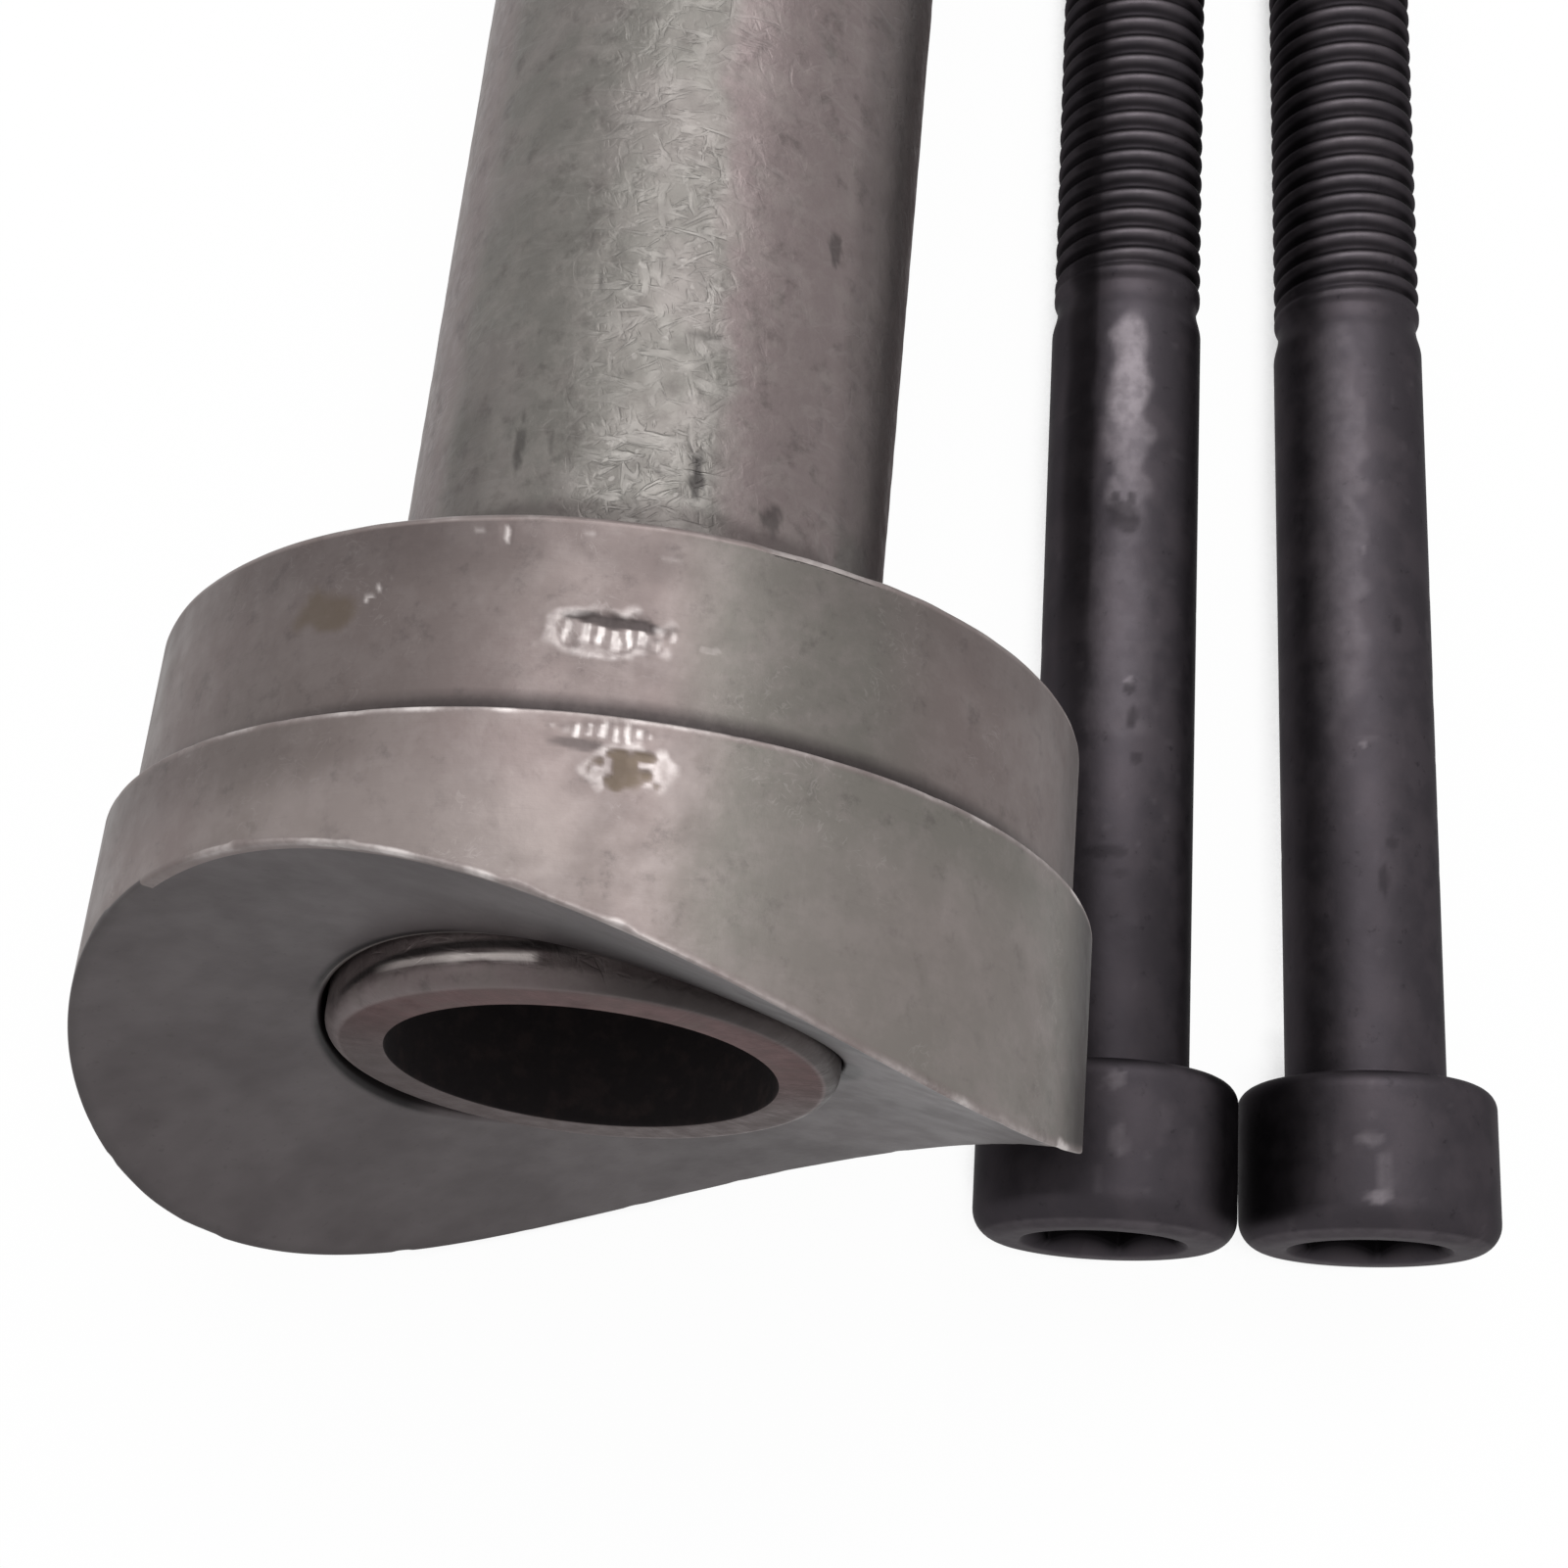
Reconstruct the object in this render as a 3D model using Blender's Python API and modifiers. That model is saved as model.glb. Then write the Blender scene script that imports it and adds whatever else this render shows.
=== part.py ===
"""Wedge pin extractor: a steel sleeve with a saddle-shaped foot, and its two socket-head draw screws.

The foot sits astride a round shaft, over the wedge pin. A draw screw goes in through the cap at the
far end of the tube, into the thread in the pin's end, and pulls the pin up into the bore.
The tool lies on its side as it rests on a bench, with the screws beside it.

World frame: +Y runs along the tube, away from the foot, +Z is up, and the origin lies on the bench
under the middle of the whole set. Each turned piece is modelled about its own axis, local Z.
"""
import math

import bmesh
import bpy
from mathutils import Vector

MM = 0.001

# Tube, a length of heavy pipe. Lengths along the sleeve are measured from the step on the foot.
TUBE_DIAMETER = 27.0 * MM
TUBE_WALL = 3.2 * MM
TUBE_PAST_STEP = 8.6 * MM
TUBE_BACK_LENGTH = 107.0 * MM
TUBE_NOSE_ROUND = 1.1 * MM

# Foot, one turned piece with two steps and a cylindrical seat milled across its face
SMALL_RING_DIAMETER = 49.9 * MM
SMALL_RING_HEIGHT = 10.5 * MM
SMALL_RING_CHAMFER = 0.4 * MM
LARGE_RING_DIAMETER = 52.2 * MM
LARGE_RING_CHAMFER = 0.2 * MM
FOOT_DEPTH = 16.0 * MM
SEAT_RADIUS = 43.2 * MM
SEAT_WEB = 6.1 * MM
SEAT_SHIFT = 1.1 * MM
SEAT_TURN = math.radians(50.2)

# Cap that carries the screw's head at the far end of the tube
CAP_FLANGE = 6.0 * MM
CAP_SPIGOT = 8.0 * MM
CAP_HOLE_DIAMETER = 11.0 * MM
CAP_CHAMFER = 0.8 * MM

# Draw screws, M10 x 90 with a hexagon socket
HEAD_DIAMETER = 16.0 * MM
HEAD_HEIGHT = 10.0 * MM
HEAD_FACE_ROUND = 1.8 * MM
HEAD_UNDER_ROUND = 0.6 * MM
SHANK_DIAMETER = 10.0 * MM
THREAD_DIAMETER = 9.85 * MM
THREAD_PITCH = 1.5 * MM
THREAD_DEPTH = 0.85 * MM
NECK_DIAMETER = 9.1 * MM
NECK_START = 52.0 * MM
NECK_TAPER = 1.4 * MM
SCREW_LENGTH = 90.0 * MM
POINT_CHAMFER = 1.0 * MM
SOCKET_WIDTH = 8.0 * MM
SOCKET_DEPTH = 5.0 * MM
SOCKET_COUNTERSINK = 0.5 * MM
SOCKET_TIP_ANGLE = math.radians(118.0)

# Clearances
FIT_GAP = 0.3 * MM
CUT_MARGIN = 2.0 * MM

# How the screws lie beside the sleeve, in plan
FOOT_TO_HEAD = 0.2 * MM
HEAD_TO_HEAD = 0.9 * MM
LEFT_HEAD_AHEAD = -1.1 * MM
RIGHT_HEAD_AHEAD = 0.7 * MM
LEFT_SCREW_TURN = math.radians(2.5)
RIGHT_SCREW_TURN = math.radians(3.62)

# Fineness of round pieces
RING_STEPS = 92
SCREW_STEPS = 28
SEAT_STEPS = 240
ROUND_STEPS = 5
MERGE = 0.01 * MM
EDGE_ANGLE = math.radians(32.0)

# Sizes that follow from the ones above
TUBE_RADIUS = TUBE_DIAMETER / 2
BORE_RADIUS = TUBE_RADIUS - TUBE_WALL
SMALL_RING_RADIUS = SMALL_RING_DIAMETER / 2
LARGE_RING_RADIUS = LARGE_RING_DIAMETER / 2
HEAD_RADIUS = HEAD_DIAMETER / 2
THREAD_RADIUS = THREAD_DIAMETER / 2
SLEEVE_END = TUBE_BACK_LENGTH + FIT_GAP + CAP_FLANGE


def clear_scene():
    """Remove whatever the file holds, so that the part is built from nothing."""
    for obj in list(bpy.data.objects):
        bpy.data.objects.remove(obj, do_unlink=True)


def new_collection(name):
    """A collection linked into the scene."""
    collection = bpy.data.collections.new(name)
    bpy.context.scene.collection.children.link(collection)
    return collection


def steel(name, colour, metallic, roughness):
    """A metal finish: one Principled BSDF."""
    material = bpy.data.materials.new(name)
    material.use_nodes = True
    shader = material.node_tree.nodes["Principled BSDF"]
    shader.inputs["Base Color"].default_value = (*colour, 1.0)
    shader.inputs["Metallic"].default_value = metallic
    shader.inputs["Roughness"].default_value = roughness
    material.diffuse_color = (*colour, 1.0)
    return material


def arc(centre, radius, start, end):
    """Points of an arc in a turned outline, as (radius, height), from one angle in degrees to another."""
    points = []
    for step in range(ROUND_STEPS + 1):
        angle = math.radians(start + (end - start) * step / ROUND_STEPS)
        points.append((centre[0] + radius * math.cos(angle), centre[1] + radius * math.sin(angle)))
    return points


def turned(name, outline, closed, steps, collection):
    """Turn an outline of (radius, height) points about local Z.

    The outline runs down the outer side. A closed one makes a ring, and an open one starts and
    ends on the axis.
    """
    shape = bmesh.new()
    verts = [shape.verts.new((radius, 0.0, height)) for radius, height in outline]
    for first, second in zip(verts, verts[1:]):
        shape.edges.new((first, second))
    if closed:
        shape.edges.new((verts[-1], verts[0]))
    mesh = bpy.data.meshes.new(name)
    shape.to_mesh(mesh)
    shape.free()
    obj = bpy.data.objects.new(name, mesh)
    collection.objects.link(obj)
    screw = obj.modifiers.new("Turn", "SCREW")
    screw.axis = "Z"
    screw.angle = math.tau
    screw.steps = steps
    screw.render_steps = steps
    screw.use_merge_vertices = True
    screw.merge_threshold = MERGE
    return obj


def cutter(obj, collection):
    """Move an object from wherever it is into the cutters' collection, and show it as wire."""
    for holder in list(obj.users_collection):
        holder.objects.unlink(obj)
    collection.objects.link(obj)
    obj.hide_render = True
    obj.display_type = "WIRE"
    return obj


def cut(target, tool):
    """Take the tool's shape out of the target."""
    boolean = target.modifiers.new(f"Cut {tool.name}", "BOOLEAN")
    boolean.operation = "DIFFERENCE"
    boolean.solver = "EXACT"
    boolean.object = tool


def finish(obj, material):
    """Turn the modifiers into mesh, shade it smooth between its real edges and give it its finish."""
    depsgraph = bpy.context.evaluated_depsgraph_get()
    mesh = bpy.data.meshes.new_from_object(obj.evaluated_get(depsgraph))
    obj.modifiers.clear()
    obj.data = mesh
    mesh.name = obj.name
    mesh.shade_smooth()
    mesh.set_sharp_from_angle(angle=EDGE_ANGLE)
    mesh.materials.clear()
    mesh.materials.append(material)


def lie_down(corners):
    """Lean and axis height of a turned piece that lies on the bench.

    Each corner of the outline is (distance along the axis, radius). The last one is the end that
    comes down, and the piece tips until the first of the others meets the bench too.
    """
    far_along, far_radius = corners[-1]
    lean = max(math.atan2(radius - far_radius, far_along - along) for along, radius in corners[:-1])
    height = far_radius * math.cos(lean) + far_along * math.sin(lean)
    return lean, height


def axis_empty(name, place, lean, turn, bench):
    """An empty whose local Z runs along a lying piece, away from the foot or the head."""
    empty = bpy.data.objects.new(name, None)
    bpy.context.scene.collection.objects.link(empty)
    empty.location = place
    empty.rotation_euler = (-(math.pi / 2 + lean), 0.0, turn)
    empty.parent = bench
    return empty


def seat_cutter(axis, cutters):
    """The round shaft that the foot sits astride: a cylinder across the foot's face."""
    bpy.ops.mesh.primitive_cylinder_add(
        vertices=SEAT_STEPS, radius=SEAT_RADIUS, depth=LARGE_RING_DIAMETER + 2 * CUT_MARGIN)
    shaft = cutter(bpy.context.object, cutters)
    shaft.name = "seat_cutter"
    # Local Y points down at the bench, so a turn upwards from +X is negative here
    towards_tooth = -SEAT_TURN
    shaft.location = (
        SEAT_SHIFT * math.cos(towards_tooth),
        SEAT_SHIFT * math.sin(towards_tooth),
        -(SEAT_WEB + SEAT_RADIUS))
    shaft.rotation_euler = (0.0, math.pi / 2, towards_tooth + math.pi / 2)
    shaft.parent = axis
    return shaft


def make_foot(axis, parts, cutters, material):
    """Stepped ring, bored for the tube, with the seat cut across its face and two long teeth left."""
    hole = TUBE_RADIUS + FIT_GAP
    outline = [
        (hole, SMALL_RING_HEIGHT),
        (SMALL_RING_RADIUS - SMALL_RING_CHAMFER, SMALL_RING_HEIGHT),
        (SMALL_RING_RADIUS, SMALL_RING_HEIGHT - SMALL_RING_CHAMFER),
        (SMALL_RING_RADIUS, 0.0),
        (LARGE_RING_RADIUS - LARGE_RING_CHAMFER, 0.0),
        (LARGE_RING_RADIUS, -LARGE_RING_CHAMFER),
        (LARGE_RING_RADIUS, -FOOT_DEPTH),
        (hole, -FOOT_DEPTH),
    ]
    foot = turned("foot", outline, True, RING_STEPS, parts)
    foot.parent = axis
    cut(foot, seat_cutter(axis, cutters))
    bpy.context.view_layer.update()
    finish(foot, material)
    return foot


def make_tube(axis, parts, material):
    """Plain pipe. Its nose passes through the foot and stands a little proud of the seat."""
    nose = -TUBE_PAST_STEP
    outline = [(BORE_RADIUS, TUBE_BACK_LENGTH), (TUBE_RADIUS, TUBE_BACK_LENGTH)]
    outline += arc((TUBE_RADIUS - TUBE_NOSE_ROUND, nose + TUBE_NOSE_ROUND), TUBE_NOSE_ROUND, 0.0, -90.0)
    outline += [(BORE_RADIUS, nose)]
    tube = turned("tube", outline, True, RING_STEPS, parts)
    tube.parent = axis
    finish(tube, material)
    return tube


def make_end_cap(axis, parts, material):
    """Flanged cap with a spigot in the bore, drilled to let the draw screw through."""
    hole = CAP_HOLE_DIAMETER / 2
    spigot = BORE_RADIUS - FIT_GAP
    flange_bottom = SLEEVE_END - CAP_FLANGE
    outline = [
        (hole, SLEEVE_END),
        (TUBE_RADIUS - CAP_CHAMFER, SLEEVE_END),
        (TUBE_RADIUS, SLEEVE_END - CAP_CHAMFER),
        (TUBE_RADIUS, flange_bottom),
        (spigot, flange_bottom),
        (spigot, flange_bottom - CAP_SPIGOT),
        (hole, flange_bottom - CAP_SPIGOT),
    ]
    cap = turned("end_cap", outline, True, RING_STEPS, parts)
    cap.parent = axis
    finish(cap, material)
    return cap


def cone_mesh(sides, low, high):
    """A closed cone or prism about local Z, between two (radius, height) ends."""
    shape = bmesh.new()
    bmesh.ops.create_cone(
        shape, cap_ends=True, segments=sides, radius1=low[0], radius2=high[0], depth=high[1] - low[1])
    bmesh.ops.translate(shape, verts=shape.verts, vec=(0.0, 0.0, (high[1] + low[1]) / 2))
    return shape


def mesh_object(name, shape, collection):
    """Put a finished bmesh in an object."""
    mesh = bpy.data.meshes.new(name)
    shape.to_mesh(mesh)
    shape.free()
    obj = bpy.data.objects.new(name, mesh)
    collection.objects.link(obj)
    return obj


def socket_cutter(name, cutters):
    """Hexagon socket, deeper in the middle where the drill went."""
    corner = SOCKET_WIDTH / 2 / math.cos(math.pi / 6)
    floor = SOCKET_DEPTH - HEAD_HEIGHT
    shape = cone_mesh(6, (corner, -HEAD_HEIGHT - CUT_MARGIN), (corner, floor))
    end = max(shape.faces, key=lambda face: face.calc_center_median().z)
    tip = bmesh.ops.poke(shape, faces=[end])["verts"][0]
    tip.co.z += corner / math.tan(SOCKET_TIP_ANGLE / 2)
    return cutter(mesh_object(name, shape, cutters), cutters)


def countersink_cutter(name, cutters):
    """Cone that breaks the edge of the socket's mouth, at 45 degrees."""
    corner = SOCKET_WIDTH / 2 / math.cos(math.pi / 6)
    wide = corner + SOCKET_COUNTERSINK + CUT_MARGIN
    narrow = corner - CUT_MARGIN
    shape = cone_mesh(
        SCREW_STEPS, (wide, -HEAD_HEIGHT - CUT_MARGIN),
        (narrow, -HEAD_HEIGHT + SOCKET_COUNTERSINK + CUT_MARGIN))
    return cutter(mesh_object(name, shape, cutters), cutters)


def thread_rings(neck_end, point):
    """The thread as plain rings: a root and a crest for each pitch, from the point to the neck."""
    rings = []
    for turn in range(int((point - neck_end) / THREAD_PITCH)):
        crest = point - turn * THREAD_PITCH
        rings.append((THREAD_RADIUS - THREAD_DEPTH, crest - THREAD_PITCH / 2))
        rings.append((THREAD_RADIUS, crest - THREAD_PITCH))
    return rings


def make_draw_screw(name, axis, parts, cutters, material):
    """Socket-head screw with a plain shank and a reduced neck before its thread.

    Local Z starts under the head and runs to the point.
    """
    shank = SHANK_DIAMETER / 2
    neck = NECK_DIAMETER / 2
    neck_end = NECK_START + 2 * NECK_TAPER
    outline = [
        (0.0, SCREW_LENGTH),
        (THREAD_RADIUS - POINT_CHAMFER, SCREW_LENGTH),
        (THREAD_RADIUS, SCREW_LENGTH - POINT_CHAMFER),
    ]
    outline += thread_rings(neck_end, SCREW_LENGTH - POINT_CHAMFER)
    outline += [
        (THREAD_RADIUS, neck_end),
        (neck, NECK_START + NECK_TAPER),
        (shank, NECK_START),
        (shank, 0.0),
    ]
    outline += arc((HEAD_RADIUS - HEAD_UNDER_ROUND, -HEAD_UNDER_ROUND), HEAD_UNDER_ROUND, 90.0, 0.0)
    outline += arc(
        (HEAD_RADIUS - HEAD_FACE_ROUND, HEAD_FACE_ROUND - HEAD_HEIGHT), HEAD_FACE_ROUND, 0.0, -90.0)
    outline += [(0.0, -HEAD_HEIGHT)]
    screw = turned(name, outline, False, SCREW_STEPS, parts)
    screw.parent = axis
    for tool in (socket_cutter(f"{name}_socket", cutters), countersink_cutter(f"{name}_countersink", cutters)):
        tool.parent = axis
        cut(screw, tool)
    bpy.context.view_layer.update()
    finish(screw, material)
    return screw


def sleeve_axis(bench):
    """Axis of the foot and tube, which lie on the foot's edge and the end cap's edge."""
    corners = [
        (0.0, LARGE_RING_RADIUS - LARGE_RING_CHAMFER),
        (-LARGE_RING_CHAMFER, LARGE_RING_RADIUS),
        (SMALL_RING_HEIGHT - SMALL_RING_CHAMFER, SMALL_RING_RADIUS),
        (SLEEVE_END - CAP_CHAMFER, TUBE_RADIUS),
    ]
    lean, height = lie_down(corners)
    return axis_empty("sleeve_axis", (0.0, 0.0, height), lean, 0.0, bench)


def screw_axes(bench):
    """Axes of the two screws, which lie side by side on the edge of the head and of the point."""
    corners = [(-HEAD_UNDER_ROUND, HEAD_RADIUS), (SCREW_LENGTH - POINT_CHAMFER, THREAD_RADIUS)]
    lean, height = lie_down(corners)
    left = LARGE_RING_RADIUS + FOOT_TO_HEAD + HEAD_RADIUS
    right = left + HEAD_DIAMETER + HEAD_TO_HEAD
    return (
        axis_empty("left_screw_axis", (left, LEFT_HEAD_AHEAD, height), lean, LEFT_SCREW_TURN, bench),
        axis_empty("right_screw_axis", (right, RIGHT_HEAD_AHEAD, height), lean, RIGHT_SCREW_TURN, bench))


def centre_on_bench(bench, parts):
    """Slide the whole set until the origin is on the bench, under the middle of its box."""
    bpy.context.view_layer.update()
    corners = [part.matrix_world @ vert.co for part in parts.objects for vert in part.data.vertices]
    low = Vector([min(corner[axis] for corner in corners) for axis in range(3)])
    high = Vector([max(corner[axis] for corner in corners) for axis in range(3)])
    bench.location -= Vector(((low.x + high.x) / 2, (low.y + high.y) / 2, low.z))
    bpy.context.view_layer.update()


def build():
    """Model the whole set."""
    clear_scene()
    parts = new_collection("wedge_pin_extractor")
    cutters = new_collection("cutters")
    bench = bpy.data.objects.new("bench", None)
    bpy.context.scene.collection.objects.link(bench)

    foot_steel = steel("turned_steel", (0.30, 0.28, 0.27), 0.85, 0.48)
    tube_steel = steel("pipe_steel", (0.23, 0.22, 0.21), 0.85, 0.42)
    black_steel = steel("black_oxide_steel", (0.035, 0.031, 0.036), 0.6, 0.42)

    sleeve = sleeve_axis(bench)
    make_foot(sleeve, parts, cutters, foot_steel)
    make_tube(sleeve, parts, tube_steel)
    make_end_cap(sleeve, parts, tube_steel)
    for name, axis in zip(("draw_screw_left", "draw_screw_right"), screw_axes(bench)):
        make_draw_screw(name, axis, parts, cutters, black_steel)
    centre_on_bench(bench, parts)


build()
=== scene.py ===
# %% [markdown]
# # A wedge pin extractor on a pale bench
# The real tool is a thick steel pipe with a stepped, saddle-faced foot, and two long black socket-head
# screws that lie beside it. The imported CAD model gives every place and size, in metres. Here each CAD
# node gets a finer skin with real edges, dents and threads, and a finish like the one on the real steel.

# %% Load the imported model
import math

import bpy
import numpy as np
from mathutils import Euler, Matrix, Vector


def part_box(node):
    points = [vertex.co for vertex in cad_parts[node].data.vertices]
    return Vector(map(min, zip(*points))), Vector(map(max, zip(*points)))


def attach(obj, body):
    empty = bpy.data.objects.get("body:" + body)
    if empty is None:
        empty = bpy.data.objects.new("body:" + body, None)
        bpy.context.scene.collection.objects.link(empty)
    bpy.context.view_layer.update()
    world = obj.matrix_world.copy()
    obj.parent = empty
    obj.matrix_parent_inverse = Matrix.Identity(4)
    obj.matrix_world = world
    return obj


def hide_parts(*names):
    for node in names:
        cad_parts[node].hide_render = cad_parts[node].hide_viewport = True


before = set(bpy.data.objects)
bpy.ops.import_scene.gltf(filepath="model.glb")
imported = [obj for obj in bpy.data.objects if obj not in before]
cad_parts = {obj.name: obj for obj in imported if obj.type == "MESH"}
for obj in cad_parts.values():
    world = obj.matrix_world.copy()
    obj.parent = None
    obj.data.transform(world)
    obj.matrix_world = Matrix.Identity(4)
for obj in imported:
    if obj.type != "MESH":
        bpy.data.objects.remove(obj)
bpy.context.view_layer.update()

# %% [markdown]
# ## Where the pieces lie
# Every piece here is round about its own axis, so each is drawn about a straight axis first and then
# laid down with one matrix. The sleeve leans on the rim of its foot and on its far end. Each screw leans
# on its head and its point. Local Z runs along the piece, away from the foot or head, and local Y points
# down at the bench, so a turn of 0 degrees "from the top" is local -Y.

# %% Lay a straight axis down
MM = 0.001


def lying_matrix(place, lean, turn=0.0):
    """Matrix of an axis that starts at place (mm), falls by lean and is turned on the bench (degrees)."""
    tilt = Euler((-math.radians(90.0 + lean), 0.0, math.radians(turn)))
    return Matrix.Translation(Vector(place) * MM) @ tilt.to_matrix().to_4x4()


SLEEVE_AXIS = lying_matrix((-16.801, -48.033, 25.918), 6.38)
LEFT_SCREW_AXIS = lying_matrix((17.499, -49.133, 7.975), 1.966, 2.5)
RIGHT_SCREW_AXIS = lying_matrix((34.399, -47.333, 7.975), 1.966, 3.62)

# %% [markdown]
# ## A skin woven from rows
# A turned piece could be a Screw modifier, but the foot's rim climbs and falls and the threads wind
# round, so no single outline describes them. Instead the skin is woven like a net: each row runs once
# round the piece and holds its own radius and height for every column, and quads join the rows.

# %% Weave rows into a mesh
def show(item):
    """Link a new object to the scene."""
    bpy.context.scene.collection.objects.link(item)


def woven_faces(rows, columns, closed):
    """Quads between neighbouring rows. A closed net also joins its last row to its first."""
    here = np.arange(columns)
    beside = (here + 1) % columns
    faces = []
    for row in range(rows if closed else rows - 1):
        low = row * columns
        high = (row + 1) % rows * columns
        faces.append(np.stack([low + here, low + beside, high + beside, high + here], axis=1))
    return np.concatenate(faces).tolist()


def woven_piece(name, turns, radii, heights, axis, closed=True, crease=35.0):
    """An object whose skin is a net of rows and columns, in mm. A fan shuts each end of an open net."""
    rows, columns = radii.shape
    faces = woven_faces(rows, columns, closed)
    angles = np.radians(turns)
    points = np.stack([radii * np.sin(angles), -radii * np.cos(angles), heights], axis=-1)
    own = points.reshape(-1, 3)
    if not closed:
        own = np.concatenate([own, [points[0].mean(axis=0), points[-1].mean(axis=0)]])
        first, last = rows * columns, rows * columns + 1
        top = (rows - 1) * columns
        for here in range(columns):
            beside = (here + 1) % columns
            faces.append([first, beside, here])
            faces.append([last, top + here, top + beside])
    laid = own @ np.array(axis.to_3x3()).T * MM + np.array(axis.translation)
    mesh = bpy.data.meshes.new(name)
    mesh.from_pydata(laid.tolist(), [], faces)
    mesh.shade_smooth()
    mesh.set_sharp_from_angle(angle=math.radians(crease))
    keep = mesh.attributes.new("own_place", "FLOAT_VECTOR", "POINT")
    keep.data.foreach_set("vector", own.astype(np.float32).ravel())
    piece = bpy.data.objects.new(name, mesh)
    show(piece)
    print(name, "rows:", rows, "columns:", columns, "faces:", len(faces))
    return piece


def paint_points(piece, layers):
    """Keep a number between 0 and 1 per point under each layer's name, for the finish to read."""
    for name, amounts in layers.items():
        values = np.zeros(len(piece.data.vertices), dtype=np.float32)
        values[:amounts.size] = np.clip(amounts, 0.0, 1.0).ravel()
        layer = piece.data.attributes.new(name, "FLOAT", "POINT")
        layer.data.foreach_set("value", values)


# %% [markdown]
# ## Random wear that is the same every time
# Real edges are nicked and real dents are lumpy. Plain random numbers would jump from point to point, so
# they are laid on a grid and smoothed between its corners. The seeds are fixed, so each run gives the
# same tool.

# %% Smooth noise on the rolled-out surface
GRID = 128


def smooth_noise(across, along, cell, seed):
    """Bumps from -1 to 1, cell mm wide, at places in mm."""
    corners = np.random.default_rng(seed).uniform(-1.0, 1.0, (GRID, GRID))
    across, along = np.broadcast_arrays(across / cell, along / cell)
    column, row = np.floor(across).astype(int), np.floor(along).astype(int)
    right, up = across - column, along - row
    right, up = right * right * (3 - 2 * right), up * up * (3 - 2 * up)
    near, far = (
        corners[column % GRID, line % GRID] * (1 - right) + corners[(column + 1) % GRID, line % GRID] * right
        for line in (row, row + 1))
    return near * (1 - up) + far * up


def ramp(value, low, high):
    """0 below low, 1 above high and smooth between. low may be the larger one."""
    share = np.clip((value - low) / (high - low), 0.0, 1.0)
    return share * share * (3 - 2 * share)


def around(value, centre, far, near):
    """1 within near of the centre, 0 beyond far and smooth between. near may be the larger one."""
    return ramp(np.abs(value - centre), far, near)


def patch(arc, height, at_arc, at_height, half_wide, half_high, ragged, cell, seed, slant=0.0):
    """1 inside an oval with a ragged edge, 0 outside. Places and sizes in mm, slant in degrees."""
    across, along = arc - at_arc, height - at_height
    cos, sin = math.cos(math.radians(slant)), math.sin(math.radians(slant))
    reach = np.hypot((across * cos + along * sin) / half_wide, (along * cos - across * sin) / half_high)
    reach = reach + ragged * smooth_noise(arc, height, cell, seed)
    return ramp(reach, 1.2, 0.7)


# %% [markdown]
# ## The foot
# The foot is one turned steel piece: a small ring, a slightly larger ring, a bore for the pipe, and a
# saddle cut across its face by a cylinder, which leaves two long teeth. The saddle's height at any point
# follows from that cylinder, so the net can run straight along the rim instead of being cut by a Boolean,
# and the rim can be rounded and nicked. These are the CAD model's own sizes.

# %% The saddle's height
SMALL_RING = 24.95
LARGE_RING = 26.1
RING_TOP = 10.5
FOOT_HOLE = 13.8
SADDLE_RADIUS = 43.2
SADDLE_WEB = 6.1
SADDLE_SHIFT = 1.1
TOOTH_TURN = 39.8
FOOT_DEPTH = 16.0


def saddle_height(turns, radius):
    """Height of the saddle face below the step, in mm."""
    across = radius * np.cos(np.radians(turns - TOOTH_TURN)) - SADDLE_SHIFT
    height = np.sqrt(SADDLE_RADIUS ** 2 - across ** 2) - SADDLE_RADIUS - SADDLE_WEB
    return np.maximum(height, -FOOT_DEPTH)


# %% Columns round the foot, closer together over the marks on its top
MARKED_TURNS = np.arange(-20.0, 8.0, 0.25)
PLAIN_TURNS = np.arange(8.0, 340.0, 0.7)
foot_turns = np.concatenate([MARKED_TURNS, PLAIN_TURNS])
foot_turns = np.where(foot_turns > 180.0, foot_turns - 360.0, foot_turns)
print("columns round the foot:", foot_turns.size)


# %% Rows: worn edges, straight runs, and how they spread round a piece
def worn_edge(before, corner, after, steps):
    """Rows of a round edge from before to after, pulled towards the corner. Each is (radius, height)."""
    rows = []
    for share in np.linspace(0.0, 1.0, steps):
        weights = ((1 - share) ** 2, 2 * share * (1 - share), share ** 2)
        rows.append(tuple(
            weights[0] * start + weights[1] * middle + weights[2] * end
            for start, middle, end in zip(before, corner, after)))
    return rows


def straight(before, after, steps):
    """Rows spaced evenly from before to after, without the ends."""
    shares = np.linspace(0.0, 1.0, steps + 2)[1:-1]
    return [tuple(start + (end - start) * share for start, end in zip(before, after)) for share in shares]


def upright(radius, start, stop, steps):
    """Rows at one radius, spaced evenly in height, with both ends."""
    return [(radius, height) for height in np.linspace(start, stop, steps)]


def spread(rows, turns):
    """The radii and the heights of (radius, height) rows at every turn, as two arrays."""
    radii = np.array([radius + 0 * turns for radius, height in rows])
    heights = np.array([height + 0 * turns for radius, height in rows])
    return radii, heights


# %% How far each edge of the foot is worn back
BACK_WEAR_TURN = 13.5
foot_arc = np.radians(foot_turns) * LARGE_RING


def along_edge(cell, seed):
    """Bumps from -1 to 1 along an edge of the foot, cell mm long."""
    return smooth_noise(foot_arc, 0.0, cell, seed)


rim_wear = 0.2 + 0.03 * along_edge(2.2, 11) + 0.14 * ramp(along_edge(1.6, 12), 0.4, 0.9)
step_wear = 0.16 + 0.03 * along_edge(1.8, 13) + 0.08 * ramp(along_edge(0.8, 14), 0.6, 0.95)
back_wear = 0.36 + 0.04 * along_edge(1.4, 15) + 0.22 * around(foot_turns, BACK_WEAR_TURN, 9.0, 5.0)
print("rim wear, mm:", round(float(rim_wear.min()), 2), "to", round(float(rim_wear.max()), 2))

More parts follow.
